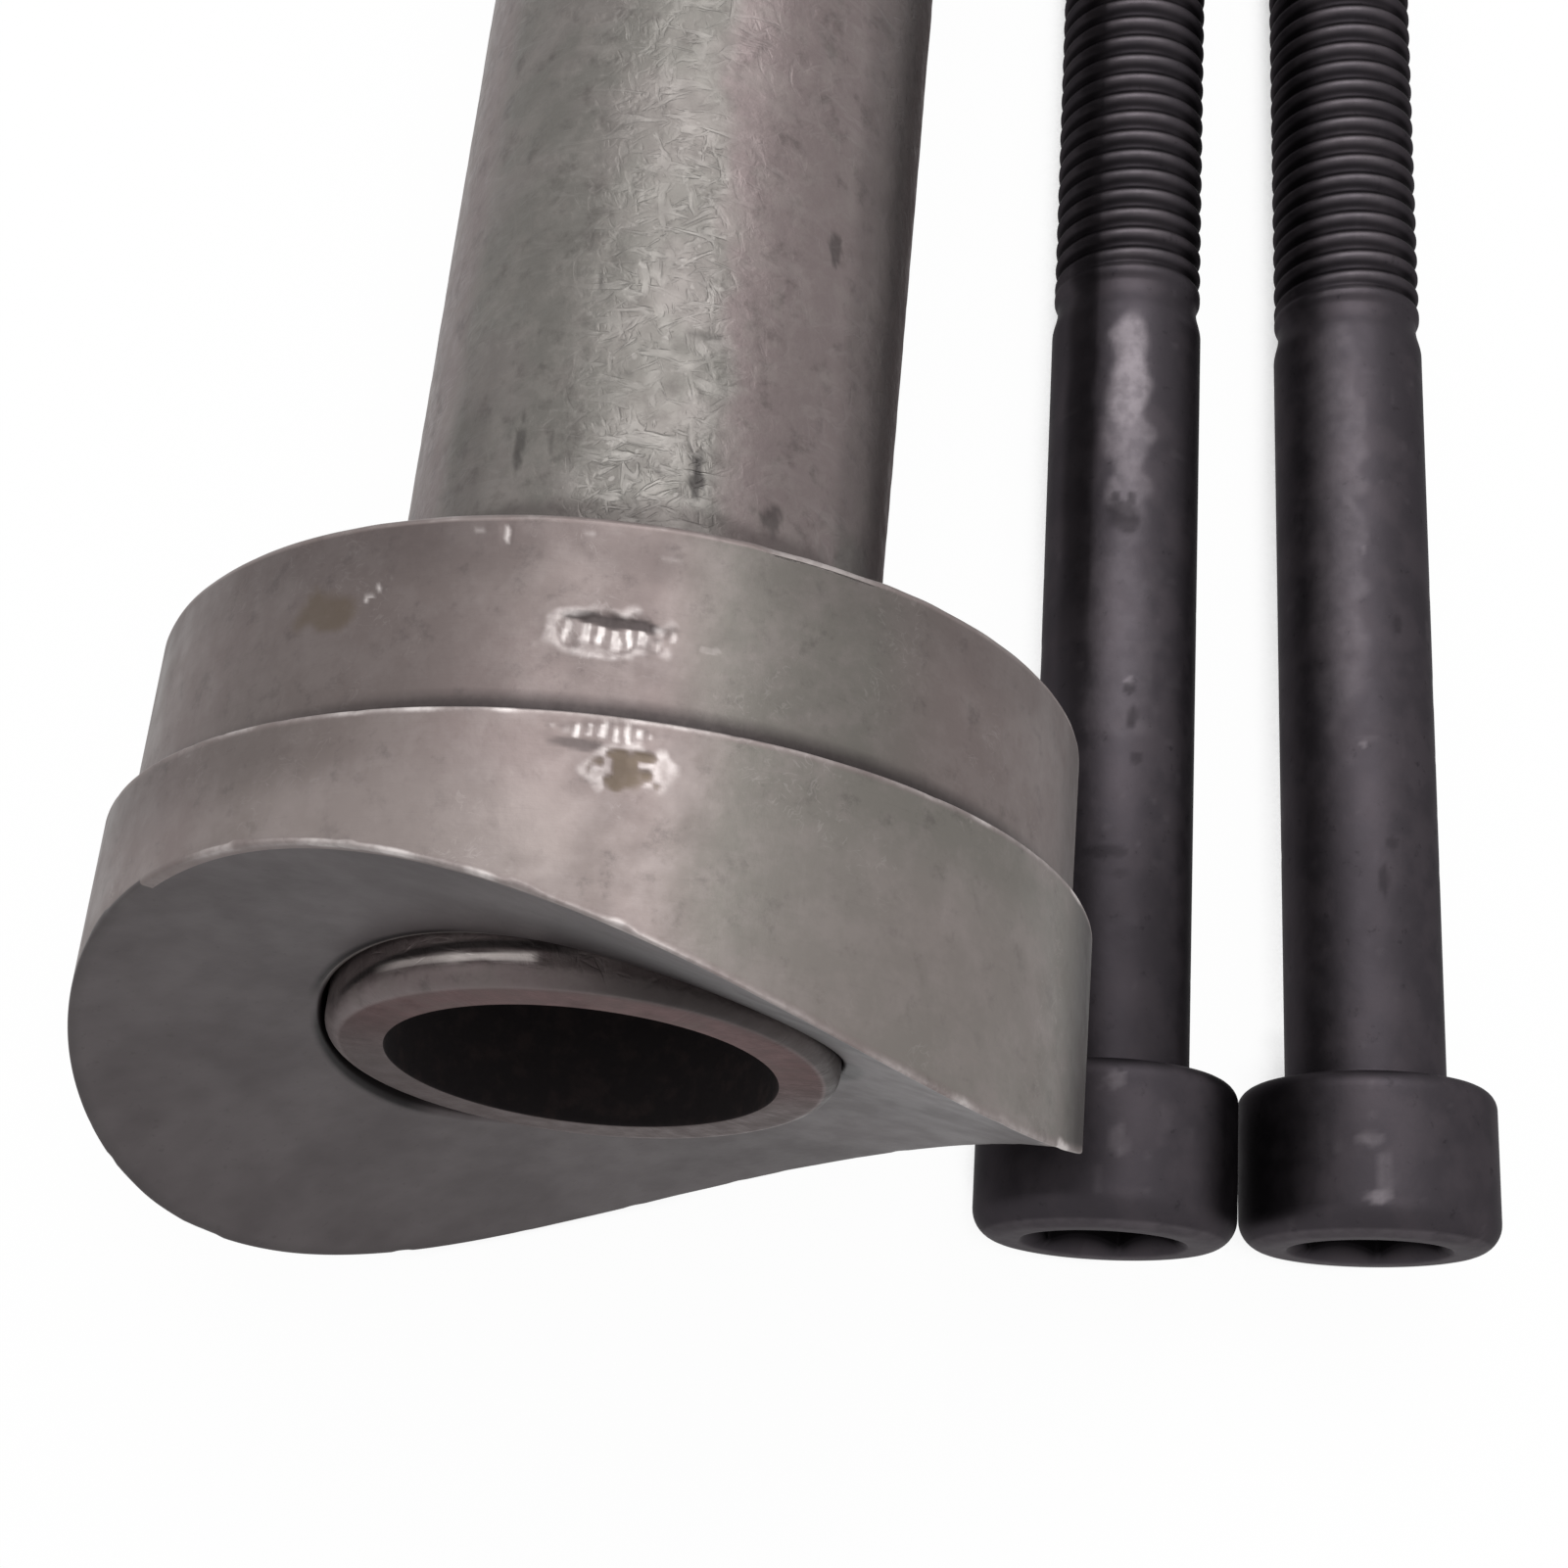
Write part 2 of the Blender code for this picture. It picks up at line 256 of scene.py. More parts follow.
# %% Rows of the foot, from its hole over the back, down the rings and in along the saddle
HOLE_BREAK = 0.25
HOLE_CLOSING = 0.26
CLOSED_TURN = 45.0
foot_kinds = []
foot_rows = []


def add_rows(kind, rows):
    """Add (radius, height) rows to the foot, with the kind of surface they are on."""
    foot_kinds.extend([kind] * len(rows))
    foot_rows.extend(rows)


def saddle_point(radius):
    """A row's (radius, height) where the saddle passes that radius."""
    return radius, saddle_height(foot_turns, radius)


# The hole's wall closes in on the pipe on the side of the screws.
hole_radius = FOOT_HOLE - HOLE_CLOSING * around(foot_turns, CLOSED_TURN, 60.0, 42.0)
hole_rim = saddle_point(hole_radius)
outer_rim = saddle_height(foot_turns, LARGE_RING)
add_rows("hole", straight((hole_radius, hole_rim[1] + 0.4), (hole_radius, RING_TOP - 0.2), 3))
add_rows("edge", worn_edge(
    (hole_radius, RING_TOP - HOLE_BREAK), (hole_radius, RING_TOP), (FOOT_HOLE + HOLE_BREAK, RING_TOP), 4))
add_rows("back", straight((FOOT_HOLE + HOLE_BREAK, RING_TOP), (SMALL_RING - back_wear, RING_TOP), 7))
add_rows("edge", worn_edge(
    (SMALL_RING - back_wear, RING_TOP), (SMALL_RING - 0.05, RING_TOP - 0.05),
    (SMALL_RING, RING_TOP - back_wear), 5))
for top, bottom, steps in ((10.0, 6.4, 9), (6.3, 2.9, 26), (2.8, 0.15, 9)):
    add_rows("side", upright(SMALL_RING, top, bottom, steps))
add_rows("step", [(SMALL_RING + out, 0.0) for out in (0.0, 0.35, 0.7)])
add_rows("edge", worn_edge(
    (LARGE_RING - step_wear, 0.0), (LARGE_RING, 0.0), (LARGE_RING, -step_wear), 5))
add_rows("side", upright(LARGE_RING, -0.42, -3.7, 22))
add_rows("side", straight((LARGE_RING, -3.7), (LARGE_RING, outer_rim + rim_wear), 20))
add_rows("edge", worn_edge(
    (LARGE_RING, outer_rim + rim_wear), (LARGE_RING, outer_rim), saddle_point(LARGE_RING - rim_wear), 6))
for radius in (*np.linspace(LARGE_RING - 0.7, 15.8, 20), *np.linspace(15.5, FOOT_HOLE + 0.35, 9)):
    add_rows("seat", [saddle_point(radius)])
add_rows("mouth", worn_edge(
    saddle_point(hole_radius + 0.3), hole_rim, (hole_radius, hole_rim[1] + 0.3), 5))

foot_kinds = np.array(foot_kinds)
foot_radii, foot_heights = spread(foot_rows, foot_turns)
print("rows in the foot:", {str(kind): int((foot_kinds == kind).sum()) for kind in np.unique(foot_kinds)})

# %% [markdown]
# ## Marks on the foot
# Two rough pitted patches sit near the top, one on each ring, with a bright raised lip, and small nicks
# catch the light elsewhere. A bump texture alone would vanish at the outline and in raking light, so
# these are pressed into the net itself. The same sums also say where the steel is bright, brown or dirty,
# and where shade and highlights are painted on it.

# %% Where the marks are
arcs = np.radians(foot_turns) * np.where(foot_heights >= 0, SMALL_RING, LARGE_RING)


def rows_of(*kinds):
    """True for the foot's rows of those kinds of surface."""
    return np.isin(foot_kinds, kinds)[:, None]


def arc_at(turn, radius):
    """Distance round a piece from its top, in mm."""
    return math.radians(turn) * radius


def foot_noise(cell, seed):
    """Bumps from -1 to 1 over the foot's rings, cell mm wide."""
    return smooth_noise(arcs, foot_heights, cell, seed)


def foot_patch(turn, height, *shape):
    """A ragged patch on one of the foot's rings: the small one above the step, the large one below."""
    place = arc_at(turn, SMALL_RING if height > 0 else LARGE_RING)
    return on_side * patch(arcs, foot_heights, place, height, *shape)


on_side = rows_of("side")
upper_pit = foot_patch(-8.5, 4.6, 2.6, 1.0, 0.3, 0.8, 21)
upper_shade = foot_patch(-8.3, 5.2, 2.3, 0.34, 0.35, 0.6, 22, -3.0)
upper_lip = foot_patch(-8.7, 4.5, 3.1, 1.5, 0.25, 0.9, 21)
lower_dots = foot_patch(-7.0, -0.85, 2.6, 0.42, 0.3, 0.6, 23)
lower_shade = foot_patch(-10.4, -1.55, 1.3, 0.3, 0.3, 0.6, 24)
lower_pit = foot_patch(-5.2, -2.45, 1.15, 0.8, 0.75, 0.45, 25)
lower_lip = foot_patch(-5.2, -2.2, 2.0, 1.5, 0.4, 0.7, 25)

# %% The rough floor of the marks: a row of beads, a row of teeth, blobs and lumps
BEAD_SPACING = 0.58
TOOTH_SPACING = 0.72
wander = 0.4 * foot_noise(0.8, 26)
beads = ramp(np.cos(2 * np.pi * (arcs / BEAD_SPACING + wander)), -0.9, 0.9)
beads = beads * ramp(foot_noise(0.4, 33), -0.9, 0.1)
teeth = ramp(np.cos(2 * np.pi * (arcs / TOOTH_SPACING + wander)), -0.6, 0.7)
blobs = ramp(foot_noise(0.38, 36), -0.35, 0.55)
lumps = foot_noise(0.34, 27)

# %% Press the marks into the rings. A nick is (turn, height, half wide, half high, depth, brightness)
NICKS = (
    (-23.8, 9.4, 0.45, 0.25, 0.03, 0.35), (-20.9, 9.3, 0.2, 0.4, 0.05, 0.7),
    (13.4, 2.4, 0.4, 0.45, 0.01, 0.2), (44.4, 6.0, 0.25, 0.55, 0.01, 0.2), (31.0, -3.2, 0.4, 0.5, 0.01, 0.15),
    (22.0, 7.5, 0.4, 0.3, 0.01, 0.2), (-3.0, 8.6, 0.6, 0.3, 0.01, 0.25), (2.0, 4.4, 0.5, 0.3, 0.01, 0.25),
    (-12.0, 9.6, 0.35, 0.25, 0.02, 0.3))
LIP_HEIGHT = 0.01
scratch = foot_patch(-35.4, 6.6, 1.0, 0.13, 0.15, 0.5, 28, 40.0)
nicks = 0.6 * scratch
press = 0.02 * scratch
for turn, height, half_wide, half_high, depth, bright in NICKS:
    nick = foot_patch(turn, height, half_wide, half_high, 0.5, 0.4, 29)
    nicks = np.maximum(nicks, bright * nick)
    press = np.maximum(press, depth * nick)
press = press + upper_pit * (0.06 + 0.03 * lumps + 0.035 * (1 - blobs)) + 0.03 * upper_shade
press = press + lower_dots * (0.02 + 0.04 * (1 - beads)) + 0.03 * lower_shade
press = press + lower_pit * (0.04 + 0.02 * lumps)
lips = np.maximum(np.clip(upper_lip - upper_pit, 0.0, 1.0), np.clip(lower_lip - lower_pit, 0.0, 1.0))
foot_radii = foot_radii - press + LIP_HEIGHT * lips
print("deepest mark, mm:", round(float(press.max()), 2))

# %% Where the foot is worn bright or painted with highlights
LIT_TURN = 16.0
above_step = foot_heights > 0
below_step = foot_heights < 0
edge_rows = rows_of("edge")
# Worn bright edges, painted brightest near the lit turn and faint far from it: wear and painted highlight.
edge_wear_and_highlight = 0.36 + 0.12 * smooth_noise(arcs, 0.0, 3.0, 31)
edge_wear_and_highlight = edge_wear_and_highlight + 0.5 * ramp(smooth_noise(arcs, 0.0, 2.0, 34), 0.2, 0.8)
edge_wear_and_highlight = edge_wear_and_highlight * (0.04 + 0.96 * around(foot_turns, LIT_TURN, 85.0, 48.0))
back_share = 0.45 + 0.9 * around(foot_turns, BACK_WEAR_TURN, 8.0, 5.0)
edge_wear_and_highlight = edge_wear_and_highlight * np.where(foot_heights > 5.0, back_share, 1.0)
# The lower floor of the upper pit is painted bright, partly a painted highlight on the wall facing the light.
pit_bright = 0.24 + 0.7 * np.maximum(teeth * blobs, 0.5 * teeth)
foot_wear_and_highlight = (1 - lower_pit) * np.maximum.reduce([
    edge_rows * edge_wear_and_highlight,
    0.55 * rows_of("mouth") * around(foot_turns, -52.0, 32.0, 20.0),
    nicks,
    lips * (0.42 + 0.14 * lumps),
    np.clip(upper_pit - upper_shade, 0.0, 1.0) * pit_bright,
    lower_dots * (0.18 + 0.6 * beads)])
# A painted sheen: lighter bands on the large ring where the light falls on it.
sheen = 0.24 * around(foot_turns, -28.0, 24.0, 9.0) + 0.16 * around(foot_turns, 30.0, 30.0, 12.0)
foot_sheen = on_side * below_step * sheen * ramp(foot_heights, -1.5, -4.5)

# %% Where the foot is brown, dirty, green or painted in shade
foot_stain = np.maximum(0.75 * foot_patch(-41.5, 6.1, 1.8, 1.0, 0.45, 0.9, 32), 0.9 * lower_pit)
# Darker in the corner of the step: painted shade, with some dirt.
step_corner_shade_and_dirt = ramp(foot_heights, 1.9, 0.5) * (foot_heights >= 0) * np.maximum(on_side, foot_heights == 0)
step_corner_shade_and_dirt = step_corner_shade_and_dirt * (0.5 + 0.5 * around(foot_turns, 4.0, 62.0, 25.0))
# The small ring is darker, most at the left and towards its back edge.
small_ring_darker = on_side * above_step * (0.17 + 0.2 * around(foot_turns, -40.0, 30.0, 8.0))
small_ring_darker = small_ring_darker + on_side * 0.15 * ramp(foot_heights, 6.0, 9.0)
# The rim's edges far from the lit turn are darker: painted shade.
rim_shade = edge_rows * (foot_heights < -1.0) * 0.25 * around(foot_turns, LIT_TURN, 58.0, 85.0)
near_step = 0.32 * ramp(foot_turns, -22.0, -45.0) * ramp(foot_heights, -5.0, -1.5)
# Painted shade on the right of the rings, where they turn away from the light; the far left is a little
# darker too.
right_side_shade = np.where(below_step, 0.85, 0.55) * ramp(foot_turns, 52.0, 66.0)
left_side = 0.25 * ramp(foot_turns, -62.0, -85.0)
# Darker round the hole: a painted shadow in the crescent low on the left, a painted shade line just
# outside the mouth, and darker patches on the right.
hole_shade_and_dirt = np.maximum.reduce([
    0.5 * ramp(foot_radii, 24.0, 16.0) * around(foot_turns, 18.0, 48.0, 24.0),
    0.9 * around(foot_radii, FOOT_HOLE + 0.5, 0.28, 0.08) * around(foot_turns, -58.0, 30.0, 18.0),
    ramp(foot_radii, 14.3, 13.95) * around(foot_turns, -122.0, 34.0, 20.0),
    0.8 * ramp(np.hypot((foot_turns - 84.0) / 16.0, (foot_radii - 14.0) / 0.9), 1.1, 0.5)])
# Dirt and painted shade kept as one amount; the hole's own wall and the pits' upper walls are painted shade.
foot_grime_and_shade = np.maximum.reduce([
    step_corner_shade_and_dirt, small_ring_darker, rim_shade,
    on_side * below_step * near_step,
    on_side * (right_side_shade + left_side),
    rows_of("seat", "mouth") * hole_shade_and_dirt,
    rows_of("hole") + 0 * arcs,
    0.85 * upper_shade, 0.55 * lower_shade])
greener = np.where(
    above_step, ramp(foot_turns, -5.0, 5.0) * ramp(foot_turns, 36.0, 15.0), ramp(foot_turns, -4.0, 8.0))
foot_green = np.clip(greener + 0.35 * foot_noise(7.0, 35), 0.0, 1.0) * on_side
print("dirty share of the foot:", round(float(np.clip(foot_grime_and_shade, 0.0, 1.0).mean()), 3))

# %% Make the foot
foot = woven_piece("foot_turned", foot_turns, foot_radii, foot_heights, SLEEVE_AXIS)
paint_points(foot, {
    "wear_and_highlight": foot_wear_and_highlight, "stain": foot_stain, "grime_and_shade": foot_grime_and_shade, "green": foot_green, "painted_sheen": foot_sheen})

# %% [markdown]
# ## The pipe
# The pipe is thick and plain. Its nose goes through the foot and stands a little proud of the saddle,
# with a rounded edge and a bright line on its upper left, a rubbed edge with a painted highlight. It could
# be a Solidify modifier on a cylinder, but the nose needs its own curve and the outside its own dents, so
# it is woven as well.

# %% Rows and columns of the pipe
PIPE = 13.5
BORE = 10.3
PIPE_BACK = 107.0
PIPE_NOSE = -8.6
NOSE_ROUND = 1.1
BORE_ROUND = 0.1
NOSE_SIDE_END = PIPE_NOSE + NOSE_ROUND
pipe_turns = np.arange(-180.0, 180.0, 0.9)


def round_corner(centre, radius, start, stop, steps):
    """(radius, height) points on a quarter round. 0 degrees is outwards and 90 is up."""
    angles = np.radians(np.linspace(start, stop, steps))
    return [(centre[0] + radius * math.cos(angle), centre[1] + radius * math.sin(angle)) for angle in angles]


pipe_rows = upright(PIPE, PIPE_BACK, 64.0, 24) + upright(PIPE, 63.6, 10.4, 150)
pipe_rows += upright(PIPE, 9.0, -5.2, 10) + upright(PIPE, -5.35, NOSE_SIDE_END + 0.1, 17)
pipe_rows += round_corner((PIPE - NOSE_ROUND, NOSE_SIDE_END), NOSE_ROUND, 0.0, -90.0, 12)
pipe_rows += [(radius, PIPE_NOSE) for radius in np.linspace(PIPE - NOSE_ROUND - 0.2, BORE + 0.4, 5)]
pipe_rows += round_corner((BORE + BORE_ROUND, PIPE_NOSE + BORE_ROUND), BORE_ROUND, -90.0, -180.0, 4)
pipe_rows += upright(BORE, PIPE_NOSE + 0.3, PIPE_BACK, 14)
pipe_radii, pipe_heights = spread(pipe_rows, pipe_turns)

# %% Dents in the pipe. Each is (turn, height, half wide, half high, depth, dirt)
PIPE_DENTS = (
    (3.0, 20.1, 0.36, 1.7, 0.07, 0.85), (-39.0, 21.4, 0.3, 1.8, 0.03, 0.5),
    (32.0, 37.0, 0.6, 1.1, 0.04, 0.55), (22.0, 18.6, 0.6, 0.7, 0.04, 0.55),
    (-2.0, 20.6, 0.7, 0.1, 0.04, 0.55), (-3.0, 19.6, 0.9, 0.1, 0.04, 0.5), (0.5, 28.2, 0.9, 0.1, 0.04, 0.4),
    (-24.0, 31.5, 0.1, 1.0, 0.04, 0.45), (-31.0, 21.5, 0.12, 1.5, 0.03, 0.35),
    (-15.0, 25.5, 0.4, 0.12, 0.03, 0.35))
pipe_arcs = np.radians(pipe_turns) * PIPE
outside = (pipe_radii > PIPE - 0.01) & (pipe_heights > 10.0)


def pipe_noise(cell, seed):
    """Bumps from -1 to 1 over the pipe, cell mm wide."""
    return smooth_noise(pipe_arcs, pipe_heights, cell, seed)


def pipe_patch(turn, height, *shape):
    """A ragged patch on the outside of the pipe."""
    return patch(pipe_arcs, pipe_heights, arc_at(turn, PIPE), height, *shape) * outside


pipe_grime_and_shade = np.zeros_like(pipe_heights)
for turn, height, half_wide, half_high, depth, dirt in PIPE_DENTS:
    dent = pipe_patch(turn, height, half_wide, half_high, 0.6, 0.45, 41)
    pipe_radii = pipe_radii - depth * dent
    pipe_grime_and_shade = np.maximum(pipe_grime_and_shade, dirt * dent)
ripple = pipe_noise(1.3, 42) + 0.5 * pipe_noise(0.6, 43)
pipe_radii = pipe_radii + np.minimum(0.0, 0.02 * ripple - 0.01) * outside
print("deepest dent, mm:", round(float((PIPE - pipe_radii)[outside].max()), 2))

# %% The scuffed strip on top with a painted highlight; the purple, green, brown and painted-shade parts
# The strip follows the pipe's highlight: it is scuffed, and painted a little paler as a painted highlight.
rub_end = np.interp(pipe_heights, [20.0, 30.0, 46.0], [9.0, 6.0, -2.0]) + 2.5 * pipe_noise(1.6, 46)
past_rub = pipe_turns - rub_end
pipe_scuff_and_highlight = ramp(past_rub, 4.0, -3.0) * ramp(past_rub, -44.0, -20.0) * outside
pipe_scuff_and_highlight = pipe_scuff_and_highlight * (0.7 + 0.4 * pipe_noise(4.0, 44)) * (0.55 + 0.45 * ramp(pipe_heights, 46.0, 34.0))
# A painted glint along the middle of the strip.
strip_glint = around(past_rub, -9.0, 9.0, 3.0) * ramp(pipe_heights, 36.0, 29.0) * outside
strip_glint = 0.032 * strip_glint * (0.7 + 0.9 * pipe_noise(0.6, 50))

green_corner = pipe_patch(48.0, 18.0, 2.4, 2.6, 0.4, 1.2, 47)
purple_right = 0.85 * ramp(past_rub, -3.0, 4.0) * ramp(pipe_turns, 110.0, 70.0)
purple_left = 0.7 * ramp(pipe_turns, -58.0, -68.0)
pipe_purple = np.maximum(purple_right, purple_left) * (1 - 0.8 * green_corner) * outside

# Painted shade: the pipe darkens towards its right edge, where it turns away from the light.
band_start = np.interp(pipe_heights, [16.0, 45.0], [38.0, 33.0]) + 1.5 * pipe_noise(2.0, 48)
past_band = pipe_turns - band_start
right_shade_band = 0.4 * ramp(past_band, 0.0, 8.0) + 0.55 * ramp(past_band, 8.0, 24.0)
left_streak = 0.28 * around(pipe_turns, -54.0, 9.0, 3.0) * ramp(pipe_heights, 32.0, 22.0)
# Painted shade on the pipe just above the foot's ring.
shade_near_ring = 0.55 * ramp(pipe_heights + 0.25 * pipe_noise(1.0, 45), 18.3, 17.3)
pipe_brown_and_shade = outside * np.maximum.reduce([
    right_shade_band * ramp(pipe_turns, 150.0, 100.0), left_streak, 0.25 * green_corner, shade_near_ring])

# %% The worn, dirty and painted-shade lines round the pipe's nose
LINE_HEIGHT = -7.25
on_nose = pipe_heights < -5.3
nose_side = ramp(pipe_heights, PIPE_NOSE, PIPE_NOSE + 0.08) * on_nose
nose_face = (1 - nose_side) * on_nose
low_side = ramp(pipe_heights, -7.3, -8.0) * nose_side
past_bore = (pipe_radii > BORE + 0.15) * on_nose

# A bright line on the nose's upper left: a rubbed edge and a painted highlight.
line_half = 0.27 + 0.07 * smooth_noise(pipe_arcs, 0.0, 0.7, 49)
bright_line = around(pipe_heights, LINE_HEIGHT, line_half, 0.08) * on_nose
bright_line = bright_line * ramp(pipe_turns, -60.0, -50.0) * ramp(pipe_turns, -16.5, -19.5)
bright_line = bright_line * (0.55 + 0.45 * ramp(pipe_turns, -42.0, -35.0))
bore_edge = ramp(np.hypot(pipe_radii - BORE - BORE_ROUND, pipe_heights - PIPE_NOSE - BORE_ROUND), 0.35, 0.1)
bore_edge = bore_edge * around(pipe_turns, 5.0, 95.0, 60.0)
pipe_wear_and_highlight = np.maximum(strip_glint, np.maximum(bright_line, 0.2 * bore_edge) * past_bore)

# A dark line in the gap between the foot and the nose: painted shade.
crack_shade_height = -6.6 - 0.00055 * (pipe_turns + 28.0) ** 2
crack_shade = around(pipe_heights, crack_shade_height, 0.34, 0.12)
crack_shade = crack_shade * ramp(pipe_turns, -82.0, -64.0) * ramp(pipe_turns, -5.0, -15.0)
nose_shade = 0.5 * ramp(pipe_turns, -25.0, 8.0) * ramp(pipe_turns, 50.0, 22.0) * low_side
pipe_grime_and_shade = np.maximum.reduce([pipe_grime_and_shade, 0.85 * crack_shade * on_nose, nose_shade * past_bore])

# Painted shade: the nose's side, its face and its outer round on the right are darker, as they face away from
# the light.
nose_side_shade = 0.28 + 0.6 * ramp(pipe_turns, -25.0, 12.0) * (0.2 + 0.8 * low_side)
nose_face_shade = 0.78 - 0.28 * around(pipe_turns, 0.0, 80.0, 50.0)
outer_round_shade = ramp(pipe_radii, 12.5, 13.1) * around(pipe_turns, 85.0, 50.0, 30.0)
pipe_brown_and_shade = np.maximum.reduce([pipe_brown_and_shade, nose_side_shade * nose_side, nose_face_shade * nose_face])
pipe_brown_and_shade = np.maximum(pipe_brown_and_shade * (1 - bright_line), 0.92 * outer_round_shade * on_nose)
pipe_purple = np.maximum(pipe_purple, on_nose)
# Duller reflections on the nose's cut face, and on the pipe's right edge as painted shade.
pipe_matt_and_shade = np.maximum(
    nose_face * (0.3 + 0.7 * around(pipe_turns, 0.0, 110.0, 60.0)),
    0.6 * ramp(pipe_turns, 55.0, 75.0) * outside)

# %% Make the pipe
pipe = woven_piece("tube_pipe", pipe_turns, pipe_radii, pipe_heights, SLEEVE_AXIS)
paint_points(pipe, {
    "wear_and_highlight": pipe_wear_and_highlight, "grime_and_shade": pipe_grime_and_shade, "scuff_and_highlight": pipe_scuff_and_highlight,
    "purple": pipe_purple, "brown_and_shade": pipe_brown_and_shade, "matt_and_shade": pipe_matt_and_shade})

# %% [markdown]
# ## The end cap
# A draw screw needs something to bear on at the far end of the pipe, so the tool ends in a flanged cap
# with a hole for the screw. Nothing of it shows from the front. It is woven from one closed outline, with
# small rounds where a lathe tool would break the edges.

# %% Make the end cap
CAP_TOP = 113.3
CAP_FLANGE = 6.0
CAP_SPIGOT = 8.0
CAP_HOLE = 5.5
SPIGOT = 10.0
HOLE_ROUND = 0.4
FLANGE_ROUND = 0.85
flange_low = CAP_TOP - CAP_FLANGE
cap_low = flange_low - CAP_SPIGOT
cap_turns = np.arange(-180.0, 180.0, 2.5)
hole_end = (CAP_HOLE + HOLE_ROUND, CAP_TOP)
cap_rows = worn_edge((CAP_HOLE, CAP_TOP - HOLE_ROUND), (CAP_HOLE, CAP_TOP), hole_end, 5)
cap_rows += straight(hole_end, (PIPE - 0.8, CAP_TOP), 6)
cap_rows += worn_edge(
    (PIPE - FLANGE_ROUND, CAP_TOP), (PIPE - 0.2, CAP_TOP - 0.2), (PIPE, CAP_TOP - FLANGE_ROUND), 6)
cap_rows += straight((PIPE, CAP_TOP - FLANGE_ROUND), (PIPE, flange_low + 0.2), 5)
cap_rows += worn_edge((PIPE, flange_low + 0.2), (PIPE, flange_low), (PIPE - 0.2, flange_low), 4)
cap_rows += [(SPIGOT + 0.1, flange_low), (SPIGOT, flange_low - 0.1)]
cap_rows += worn_edge((SPIGOT, cap_low + 0.5), (SPIGOT, cap_low), (SPIGOT - 0.5, cap_low), 4)
cap_rows += worn_edge((CAP_HOLE + 0.3, cap_low), (CAP_HOLE, cap_low), (CAP_HOLE, cap_low + 0.3), 4)
cap_radii, cap_heights = spread(cap_rows, cap_turns)
end_cap = woven_piece("end_cap_turned", cap_turns, cap_radii, cap_heights, SLEEVE_AXIS)
paint_points(end_cap, {"wear_and_highlight": 0.7 * ramp(np.hypot(cap_radii - PIPE, cap_heights - CAP_TOP), 1.3, 0.7)})

# %% [markdown]
# ## The draw screws
# Each is a long black socket-head screw: a rolled thread, a waisted neck, a plain shank, and a round head
# with a hexagon socket. A thread could be a Screw modifier, but its ends then need trimming. In the net a
# thread is only a height shifted by the turn: every column sees the same profile a little later.

# %% The screw's thread
SHANK = 5.0
THREAD = 4.93
PITCH = 1.5
THREAD_DEPTH = 0.38
NECK = 4.68
NECK_START = 51.2
THREAD_START = 54.1
SCREW_END = 90.0
screw_turns = np.arange(-180.0, 180.0, 3.0)


def thread_radius(turns, heights):
    """Radius of the rolled thread, with crests and roots rounded by wear and by the black bath."""
    phase = (heights / PITCH - turns / 360.0) % 1.0
    groove = ramp(np.abs(phase - 0.5), 0.46, 0.03)
    fade = ramp(heights, THREAD_START, THREAD_START + 1.1) * ramp(heights, SCREW_END - 0.2, SCREW_END - 1.6)
    return THREAD - THREAD_DEPTH * groove * fade


# %% The screw's head, with a hexagon socket
HEAD = 8.0
HEAD_HEIGHT = 10.0
HEAD_ROUND = 1.8
HEAD_UNDER_ROUND = 1.2
SOCKET_HALF = 4.0
SOCKET_DEPTH = 5.0
SOCKET_MOUTH = 5.12
CORNER_TURN = 60.0
DRILL_DEPTH = 2.75


def hexagon_radius(turns):
    """Distance from the axis to the hexagon's wall."""
    from_flat = (turns - 0.5 * CORNER_TURN) % CORNER_TURN - 0.5 * CORNER_TURN
    return SOCKET_HALF / np.cos(np.radians(from_flat))


def head_rows():
    """Rows from the bottom of the socket, out over the face and back to under the head."""
    wall = hexagon_radius(screw_turns)
    face = -HEAD_HEIGHT
    floor = face + SOCKET_DEPTH
    slope = face + SOCKET_MOUTH - wall
    rows = [(wall * share, floor + (1 - share) * DRILL_DEPTH) for share in (0.05, 0.3, 0.6, 0.9, 0.99)]
    rows += straight((wall, floor), (wall, slope), 4)
    rows += worn_edge((wall, slope + 0.15), (wall, slope), (wall + 0.1, slope - 0.1), 3)
    rows += worn_edge((SOCKET_MOUTH - 0.1, face + 0.1), (SOCKET_MOUTH, face), (SOCKET_MOUTH + 0.12, face), 3)
    rows += straight((SOCKET_MOUTH + 0.12, face), (HEAD - HEAD_ROUND, face), 4)
    rows += round_corner((HEAD - HEAD_ROUND, face + HEAD_ROUND), HEAD_ROUND, -90.0, 0.0, 12)
    rows += straight((HEAD, face + HEAD_ROUND), (HEAD, -HEAD_UNDER_ROUND), 24)
    rows += round_corner((HEAD - HEAD_UNDER_ROUND, -HEAD_UNDER_ROUND), HEAD_UNDER_ROUND, 0.0, 90.0, 9)
    rows += straight((HEAD - HEAD_UNDER_ROUND, 0.0), (SHANK + 0.3, 0.0), 4)
    return rows


# %% The whole screw, from its socket to its point
POINT_START = SCREW_END - 1.0
POINT = THREAD - 1.1
ROWS_PER_TURN = 15


